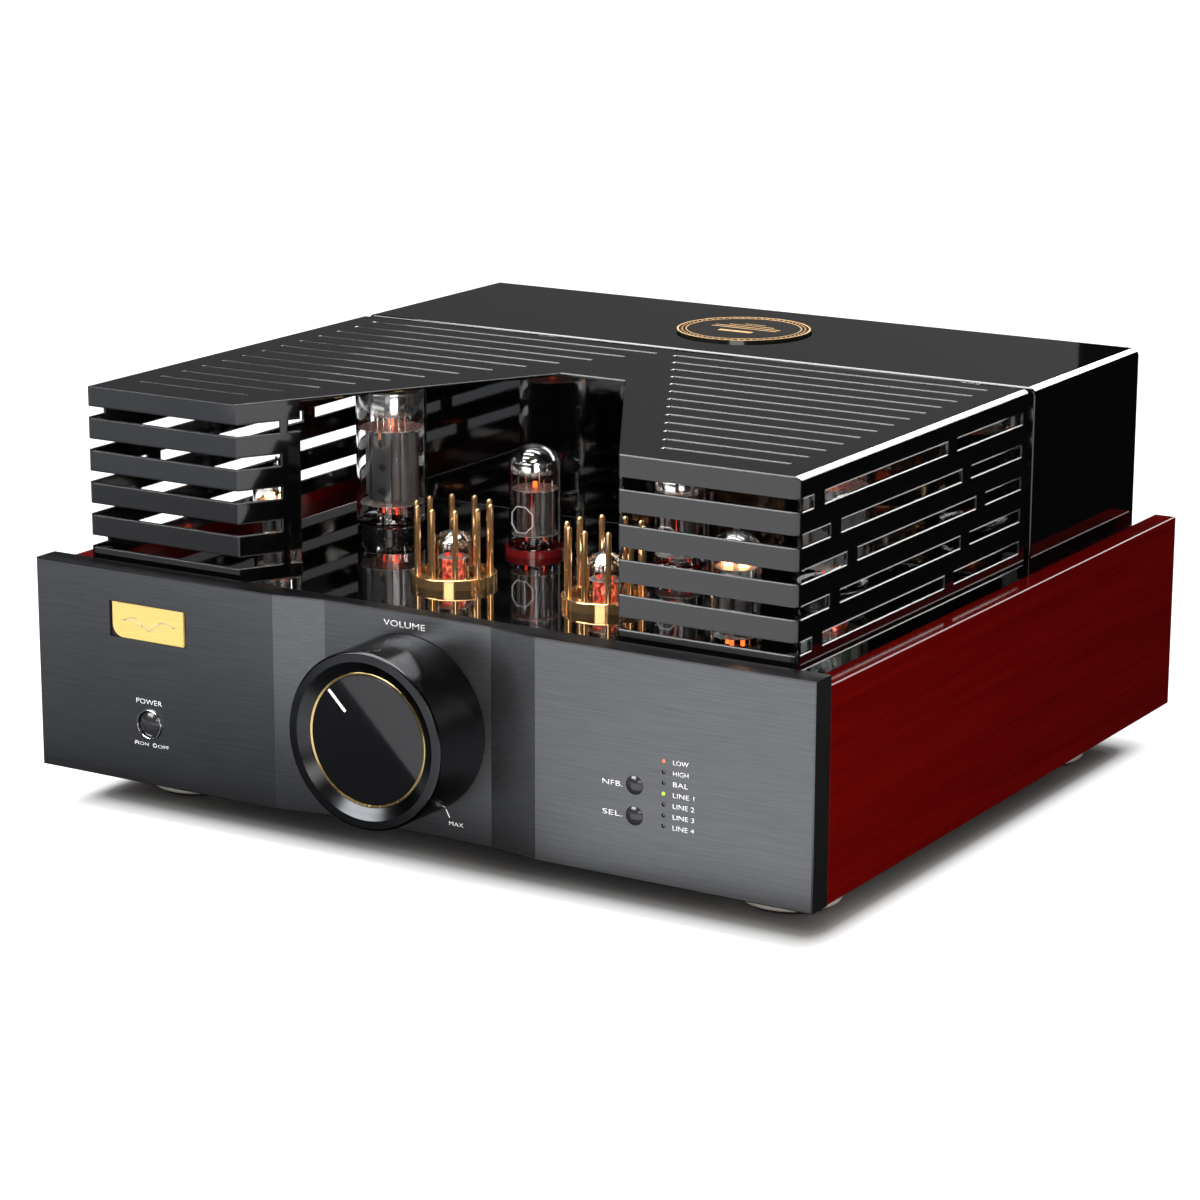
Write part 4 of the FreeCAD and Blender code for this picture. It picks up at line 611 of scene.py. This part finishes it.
def inner_film(name, radius, top, side_level, x, y, low, high):
    """The silver film inside a bulb: it follows the dome and runs a little down the wall."""
    inside = radius - GLASS_WALL
    rise = radius * DOME - GLASS_WALL
    sphere = (inside * inside + rise * rise) / (2 * rise)
    edge = math.asin(min(1.0, inside / sphere))
    profile, steps = [(inside, side_level)], 12
    for step in range(steps + 1):
        turn = edge * (1 - step / steps)
        profile.append((max(sphere * math.sin(turn), 0.02), top - GLASS_WALL - sphere * (1 - math.cos(turn))))
    bm = bmesh.new()
    lathe(bm, profile, at(x, y, 0), 64)
    film = getter_film(name + "_look", (FLOOR + low) / 1000, (FLOOR + high) / 1000)
    return finish_piece(name, bm, film)


def ellipse(half, deep, steps=48, square=2.6):
    """A rounded plan outline between an ellipse and a box."""
    points = []
    for step in range(steps):
        turn = math.tau * step / steps
        c, s = math.cos(turn), math.sin(turn)
        reach = (abs(c) ** square + abs(s) ** square) ** (-1 / square)
        points.append((half * reach * c, deep * reach * s))
    return points


def holed_strip(name, x, y, low, high, half, thick, holes, radius, material):
    """An upright strip with round holes through it, facing the front."""
    bm = bmesh.new()
    slab(bm, at(x - half, y - thick, low), at(x + half, y, high))
    piece = finish_piece(name, bm, material)
    bm = bmesh.new()
    for level in holes:
        tube_along(bm, [at(x, y - thick - 2, level), at(x, y + 2, level)], radius, 20)
    mesh = bpy.data.meshes.new(name + "_drill")
    bmesh.ops.recalc_face_normals(bm, faces=bm.faces)
    bm.to_mesh(mesh)
    bm.free()
    drill = bpy.data.objects.new(name + "_drill", mesh)
    scene.collection.objects.link(drill)
    drilled = piece.modifiers.new("holes", "BOOLEAN")
    drilled.object, drilled.operation, drilled.solver = drill, "DIFFERENCE", "EXACT"
    bpy.context.view_layer.update()
    shaped = bpy.data.meshes.new_from_object(piece.evaluated_get(bpy.context.evaluated_depsgraph_get()))
    piece.modifiers.clear()
    piece.data = shaped
    bpy.data.objects.remove(drill)
    return piece


def power_tube(side, x):
    """Grey anode with a drilled strip, toothed mica discs, grid rods, getter ring and glowing heater."""
    y, z, radius, foot, head = 175.0, DECK, 17.7, 17.2, 53.4
    half, deep, strip_half, strip_thick, hole = 11.6, 7.4, 5.4, 1.1, 2.0
    levels = [z + level for level in (22.5, 34.7, 46.8)]
    strip = (z + foot, z + head, strip_half, strip_thick, levels, hole, LOOKS["anode_metal"])
    name = "power_tube_" + side
    bm = bmesh.new()
    plate_outline(bm, ellipse(half, deep), foot, head, at(x, y, z))
    anode = finish_piece(name + "_anode", bm, GREY_PLATE)
    for sign in (-1, 1):
        bm = bmesh.new()
        for shift in (-1.1, 1.1):
            out, wide, thin = sign * 13.3, 1.9, 0.2
            slab(bm, at(x + out - wide, y + shift - thin, z + 18), at(x + out + wide, y + shift + thin, z + 52.6))
        for shift in (-5.9, -4.3, 4.3, 5.9):
            out, wide, thin = sign * 9.2, 0.35, 0.9
            slab(bm, at(x + out - wide, y + shift - thin, z + 17.6), at(x + out + wide, y + shift + thin, z + 53))
        finish_piece(name + ("_fin_right" if sign > 0 else "_fin_left"), bm, GREY_PLATE, smooth=False)
    holed_strip(name + "_strip", x, y - deep, *strip)
    # Painted shade: dark discs set into the strip's holes stand for the shade seen through them.
    bm = bmesh.new()
    for level in levels:
        tube_along(bm, [at(x, y - deep - 0.22, level), at(x, y - deep + 0.1, level)], hole, 20)
    finish_piece(name + "_holes", bm, LOOKS["dark_plastic"])
    holed_strip(name + "_strip_back", x, y + deep + strip_thick, *strip)
    mica_disc(name + "_mica_low", 16.1, 22, x, y, z + 16.0)
    mica_disc(name + "_mica_high", 16.1, 22, x, y, z + 54.0, MICA_PAINTED_GLOW)
    mica_disc(name + "_mica_top", 9.0, 14, x, y, z + 60.0, MICA_PAINTED_GLOW)
    rods(name + "_supports", [(-8.5, 0), (8.5, 0), (-4.6, 0), (4.6, 0), (-2.3, 4.0), (2.3, -4.0)],
         z + 9, z + 62.5, 0.55, x, y, BRIGHT_WIRE)
    rods(name + "_leads", [(-8.0, -1.5), (-4.0, 3.0), (0.5, -3.4), (4.4, 2.2), (8.0, -1.0)], z + 5, z + 16.4,
         0.4, x, y, BRIGHT_WIRE)
    rods(name + "_heater_low", [(-1.2, -0.6), (1.2, 0.6)], z + 12.2, z + 16.6, 0.75, x, y, ORANGE)
    rods(name + "_heater_feet", [(-3.6, -2.2), (0.2, -2.8), (3.9, -1.6)], z + 9.6, z + 15.4, 0.6, x, y, RED)
    rods(name + "_heater_high", [(0, 0)], z + 54.6, z + 59.6, 1.4, x, y, ORANGE)
    # Painted glow: thin glowing rods in the gaps beside the anode stand for heater light seen through its side slits;
    # no heater is there.
    rods(name + "_slit_painted_glow", [(-11.9, -0.1), (11.9, 0.1)], z + 19, z + 51, 0.25, x, y, RED)
    bm = bmesh.new()
    lathe(bm, [(0.4, 3.6), (6.6, 3.9), (6.0, 8.6), (4.6, 10.2), (0.4, 10.6)], at(x, y, z), 32)
    finish_piece(name + "_press", bm, PRESS_GLASS)
    bm = bmesh.new()
    wide, level, steps = 6.2, z + 69.5, 28
    ring = [at(x + wide * math.cos(a), y + wide * math.sin(a), level)
            for a in [math.tau * s / steps for s in range(steps + 1)]]
    tube_along(bm, ring, 0.65, 8)
    for sign in (-1, 1):
        tube_along(bm, [at(x + sign * wide, y, level), at(x + sign * 5.6, y, z + 60)], 0.4, 8)
    finish_piece(name + "_getter_ring", bm, BRIGHT_WIRE)
    inner_film(name + "_getter_film", radius, z + 84, z + 57.0, x, y, z + 59.0, z + 69.0)
    return anode


def octal_tube(side, x):
    """Two grey half plates side by side, round mica discs, a thin heater line and a plain mark on the glass."""
    y, z, radius, foot, head = 177.0, DECK, 13.0, 10.6, 31.8
    name = "octal_tube_" + side
    plates = []
    for sign in (-1, 1):
        bm = bmesh.new()
        out, half, reach = sign * 5.4, 0.8, 0.9
        plate_outline(bm, [(px + out, py) for px, py in ellipse(3.5, 5.2, 32, 3.2)], foot, head, at(x, y, z))
        for deep in (-5.9, 5.9):
            slab(bm, at(x + out - half, y + deep - reach, z + foot), at(x + out + half, y + deep + reach, z + head))
        plates.append(finish_piece(name + ("_plate_right" if sign > 0 else "_plate_left"), bm, GREY_PLATE))
    mica_disc(name + "_mica_low", 11.5, 16, x, y, z + 9.6)
    mica_disc(name + "_mica_high", 11.5, 16, x, y, z + 32.2, MICA_PAINTED_GLOW)
    rods(name + "_supports", [(-9.9, 0), (9.9, 0), (-5.4, 0), (5.4, 0), (0, 4.2)], z + 5.5, z + 37, 0.42, x, y,
         BRIGHT_WIRE)
    rods(name + "_heater", [(0.4, -3.6)], z + 10.2, z + 31.6, 0.14, x, y, RED)
    rods(name + "_heater_tip", [(0, 0)], z + 32.8, z + 35.4, 1.1, x, y, ORANGE)
    rods(name + "_heater_low", [(-5.2, 0), (5.2, 0)], z + 6.2, z + 9.4, 0.55, x, y, RED)
    bm = bmesh.new()
    lathe(bm, [(0.4, 2.8), (7.4, 3.0), (5.6, 6.0), (0.4, 6.8)], at(x, y, z), 28)
    finish_piece(name + "_press", bm, PRESS_GLASS)
    inner_film(name + "_getter_film", radius, z + 54.5, z + 39.5, x, y, z + 38.0, z + 44.0)
    sides, half, rise, level, line = 8, 6.8, 7.0, z + 18.6, 0.26
    wrap, skin = radius + 0.06, radius + 0.07
    mark = []
    for step in range(sides + 1):
        turn = math.tau * (step + 0.5) / sides
        around = math.radians(-90) + half * math.cos(turn) / wrap
        mark.append(at(x + skin * math.cos(around), y + skin * math.sin(around), level + rise * math.sin(turn)))
    bm = bmesh.new()
    for ends in zip(mark, mark[1:]):
        tube_along(bm, ends, line, 6)
    finish_piece(name + "_mark", bm, INK)
    return plates


def small_tube(name, x, y, radius, top, low, high, plate, tip):
    """A small glass tube: plates, mica discs, lead pins, silver dome and drawn glass tip."""
    z = DECK
    bm = bmesh.new()
    for sign in (-1, 1):
        outline = [(px + sign * radius * 0.34, py) for px, py in ellipse(radius * 0.26, radius * 0.38, 28, 3.0)]
        plate_outline(bm, outline, low + 0.6, high - 0.4, at(x, y, z))
    plates = finish_piece(name + "_plates", bm, plate)
    mica_disc(name + "_mica_low", radius - 1.5, 12, x, y, z + low)
    mica_disc(name + "_mica_high", radius - 1.5, 12, x, y, z + high)
    rods(name + "_supports", [(-radius * 0.66, 0), (radius * 0.66, 0), (0, radius * 0.45)], z + low - 4,
         z + high + 2.5, 0.35, x, y, BRIGHT_WIRE)
    inner_film(name + "_getter_film", radius, z + top, z + top - radius * 1.15, x, y, z + top - radius * 1.05,
               z + top - radius * 0.6)
    bm = bmesh.new()
    lathe(bm, [(1.5, top - 0.25), (1.15, top + tip * 0.35), (0.6, top + tip * 0.8), (0.05, top + tip)],
          at(x, y, z), 16)
    finish_piece(name + "_tip", bm, PRESS_GLASS)
    return plates


for side, sign in (("left", -1), ("right", 1)):
    power = power_tube(side, sign * 125.0)
    octal = octal_tube(side, sign * 41.0)
    x, y, name = sign * 42.2, 106.5, "guarded_tube_" + side
    # The guarded tube's plates carry painted glow and painted highlights, not a real light.
    guarded = small_tube(name, x, y, 9.2, 25.5, -6.5, 12.0, PLATE_PAINTED_GLOW, 6.5)
    rods(name + "_glow", [(-3.1, -0.5), (3.1, 0.5)], DECK - 6, DECK + 13.5, 1.0, x, y, RED)
    # Painted glow: two short orange rods low on the plates' front stand for bright spots of glow; they are no heater.
    rods(name + "_painted_glow_spots", [(3.3, -3.2), (-3.6, -2.6)], DECK + 2.2, DECK + 4.6, 0.7, x, y, ORANGE)
    x, y, name = sign * 126.5, 80.0, "front_tube_" + side
    small_tube(name, x, y, 11.5, 51.0, 3.0, 34.5, GREY_PLATE, 5.5)
    rods(name + "_hot", [(-3.9, 0), (3.9, 0)], DECK + 34.9, DECK + 37.6, 2.3, x, y, WHITE_HOT)
    rods(name + "_foot", [(-3.9, 0), (3.9, 0), (0, -3)], DECK - 1.5, DECK + 2.8, 1.0, x, y, ORANGE)
    if side == "left":
        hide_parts("power_tube_plates")
        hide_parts("octal_tube_plates")
        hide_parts("small_tube_plates")


# ---------------------------------------------------------------- back of the case

def rear_legends():
    """Numbers and plain words over the sockets and posts at the back."""
    middle, apart = 46, 12
    for words, level in (("R", middle - apart), ("L", middle + apart)):
        legend("legend_row_" + words, words, (11.0, level - 1.3), (9.0, level + 1.3), REAR, facing="rear")
    for index in range(5):
        side = 18.0 + 18.0 * index
        words, half = ("OUT", 2.6) if index == 4 else (str(index + 1), 0.8)
        legend("legend_input_" + str(index + 1), words, (side - half, 68.4), (side + half, 71.0), REAR, facing="rear")
    for index, words in enumerate(("R", "L")):
        side = 130.0 + 34.0 * index
        legend("legend_balanced_" + words, words, (side - 0.9, 67.4), (side + 0.9, 70.0), REAR, facing="rear")
    for x, words in ((-112, "0"), (-88, "8"), (-46, "0"), (-22, "8")):
        legend("legend_post_" + str(abs(x)), words, (x - 0.9, 60.0), (x + 0.9, 62.6), REAR, facing="rear")
    legend("legend_posts", "SPEAKERS", (-84.0, 70.6), (-50.0, 73.4), REAR, facing="rear")
    legend("legend_inputs", "INPUTS", (42.0, 76.0), (66.0, 78.8), REAR, facing="rear")


rear_legends()


# ---------------------------------------------------------------- studio

def stage_mesh(name, bm, paint, **seen_by):
    """A piece of the studio, seen only by the named kinds of ray."""
    made = bpy.data.meshes.new(name)
    bm.to_mesh(made)
    bm.free()
    made.materials.append(paint.material)
    piece = bpy.data.objects.new(name, made)
    scene.collection.objects.link(piece)
    for ray in ("camera", "diffuse", "glossy", "transmission", "shadow"):
        setattr(piece, "visible_" + ray, seen_by.get(ray, False))
    return piece


def studio_floor():
    """White paper, bright all round from its own glow; that glow fades out just inside the case's edges, so the fall
    of the shade under the case is painted.
    """
    bm = bmesh.new()
    bmesh.ops.create_circle(bm, cap_ends=True, segments=64, radius=60.0)
    paint = Paint("studio_floor", Roughness=0.9, Specular_IOR_Level=0.0)
    paint.feed("Base Color", paint.shade(paint.noise((2, 2, 2)), (0.0, (0.21,) * 3), (1.0, (0.23,) * 3)))
    place = paint.node("ShaderNodeTexCoord").outputs["Object"]
    spot = paint.node("ShaderNodeSeparateXYZ", {0: place}).outputs
    half_width, half_depth, middle, fade = 0.185, 0.143, 0.004, 0.05
    across = paint.math("MULTIPLY", paint.math("SUBTRACT", paint.math("ABSOLUTE", spot[0]), half_width), 2.0)
    deep = paint.math("SUBTRACT", paint.math("ABSOLUTE", paint.math("SUBTRACT", spot[1], middle)), half_depth)
    quartic = [paint.math("POWER", paint.math("MAXIMUM", side, 0.0), 4.0) for side in (across, deep)]
    away = paint.math("POWER", paint.math("ADD", *quartic), 0.25)
    # Painted shadow: the floor's glow ramps up from zero just inside the case's outline; these steps set how the
    # shade under the case fades.
    steps = ((0.15, 0.0), (0.3, 0.01), (0.48, 0.10), (0.68, 0.55), (0.86, 0.88), (1.0, 1.0))
    stops = [(where, (level,) * 3) for where, level in steps]
    paint.feed("Emission Color", paint.shade(paint.span(away, 0.0, 1.0, 0.0, fade), *stops))
    paint.set("Emission Strength", 1.0)
    stage_mesh("studio_floor", bm, paint, camera=True, diffuse=True, transmission=True, shadow=True)


def backdrop():
    """A white wall round the edge of the floor, seen only straight on: it lights nothing."""
    radius, height = 20000, 15000
    bm = bmesh.new()
    lathe(bm, [(radius, 0), (radius, height)], Vector((0, 0, 0)), 64)
    paint = Paint("backdrop", Roughness=0.9, Specular_IOR_Level=0.0, Emission_Strength=1.0)
    paint.feed("Emission Color", paint.shade(paint.noise((2, 2, 2)), (0.0, (1.0,) * 3), (1.0, (1.02,) * 3)))
    stage_mesh("backdrop", bm, paint, camera=True)


def card(name, corners, stops, strength=1.0):
    """A lit card that only shows in reflections; its brightness changes from left to right."""
    bm = bmesh.new()
    bm.faces.new([bm.verts.new(Vector(c)) for c in corners])
    paint = Paint(name, Base_Color=(0.0, 0.0, 0.0), Roughness=1.0, Emission_Strength=strength)
    place = paint.node("ShaderNodeTexCoord").outputs["Object"]
    across = paint.node("ShaderNodeSeparateXYZ", {0: place}).outputs["X"]
    first, last = stops[0][0], stops[-1][0]
    ramp = [((where - first) / (last - first), tint) for where, tint in stops]
    paint.feed("Emission Color", paint.shade(paint.span(across, 0.0, 1.0, first, last), *ramp))
    return stage_mesh(name, bm, paint, glossy=True)


studio_floor()
backdrop()
faint, dark, mid, bright = (0.05, 0.055, 0.065), (0.22, 0.23, 0.255), (0.46, 0.49, 0.54), (0.97, 0.98, 1.01)
LOW, FAR, SIDE, NEAR, NEARER = 0.001, -3.13, 3.0, -0.748, -0.25
corner, notch, shoulder = (-0.2125, -0.4953, LOW), (0.047, NEARER, LOW), (-0.48, NEAR, LOW)
card("card_front", [corner, (-SIDE, FAR, LOW), (SIDE, FAR, LOW), (SIDE, NEARER, LOW), notch],
     [(-1.6, mid), (-0.2, bright), (1.2, bright)])
card("card_front_left", [shoulder, (-SIDE, FAR, LOW), (-SIDE, NEAR, LOW)], [(-1.4, mid), (-0.3, mid)])
card("card_front_near", [notch, corner, shoulder, (-SIDE, NEAR, LOW), (-SIDE, NEARER, LOW)],
     [(-1.2, mid), (-0.45, dark), (-0.12, faint)])
card("card_front_right", [(0.3, -2.7, 0.42), (1.6, -2.7, 0.42), (1.6, -2.7, 1.0), (0.3, -2.7, 1.0)],
     [(0.3, (1.0, 0.96, 0.9)), (1.6, (1.0, 0.96, 0.9))], 3.5)
card("card_back", [(-4.5, 3.0, 0.2), (-1.08, 3.0, 0.2), (-1.08, 3.0, 2.2), (-4.5, 3.0, 2.2)],
     [(-2.6, (0.065, 0.063, 0.066)), (-1.0, (0.085, 0.082, 0.082))])

world = bpy.data.worlds.new("studio")
scene.world = world
world.use_nodes = True
sky = world.node_tree.nodes["Background"].inputs
sky["Color"].default_value = (1.0, 1.0, 1.0, 1.0)
sky["Strength"].default_value = 0.004


def softbox(name, place, aim, size, power, colour=(1.0, 1.0, 1.0), glossy=True):
    """A rectangular lamp; one that isn't glossy leaves no reflection."""
    light = bpy.data.lights.new(name, "AREA")
    light.shape = "RECTANGLE"
    light.size, light.size_y = size
    light.energy = power
    light.color = colour
    piece = bpy.data.objects.new(name, light)
    scene.collection.objects.link(piece)
    piece.location = place
    piece.rotation_euler = (Vector(aim) - Vector(place)).to_track_quat("-Z", "Y").to_euler()
    piece.visible_camera = False
    piece.visible_glossy = glossy
    return piece


softbox("overhead", (-0.3, -0.1, 1.6), (-0.05, -0.1, 0.1), (2.0, 1.45), 73.0)
back = softbox("back", (0.3, 2.6, 1.58), (0.0, 0.0, 0.15), (2.6, 0.95), 80.0)
back.visible_diffuse = False
softbox("front_left", (-1.1, -1.75, 1.2), (0.0, -0.1, 0.08), (1.3, 0.6), 26.0, (0.98, 0.99, 1.0))
softbox("low_front", (-0.4, -1.9, 0.32), (0.0, 0.0, 0.05), (1.6, 0.4), 5.0, (1.0, 1.0, 1.0), False)
softbox("right_side", (0.66, -0.78, 0.4), (0.2, -0.15, 0.05), (0.4, 0.4), 10.0, (1.0, 0.94, 0.90), False)

camera = bpy.data.cameras.new("camera")
camera.sensor_width = 36.0
camera.lens = 109.0576
camera.clip_start, camera.clip_end = 0.05, 50.0
viewer = bpy.data.objects.new("camera", camera)
scene.collection.objects.link(viewer)
# The view's own axes: across, upward and backward.
across = Vector((0.85371795, 0.52072852, 0.00273289))
upward = Vector((-0.13090815, 0.20953427, 0.96899868))
backward = Vector((0.50401262, -0.82760933, 0.24705078))
turn = Matrix((across, upward, backward)).transposed()
viewer.matrix_world = Matrix.Translation((0.89329561, -1.48479210, 0.53101955)) @ turn.to_4x4()
scene.camera = viewer
scene.view_settings.view_transform = "Standard"
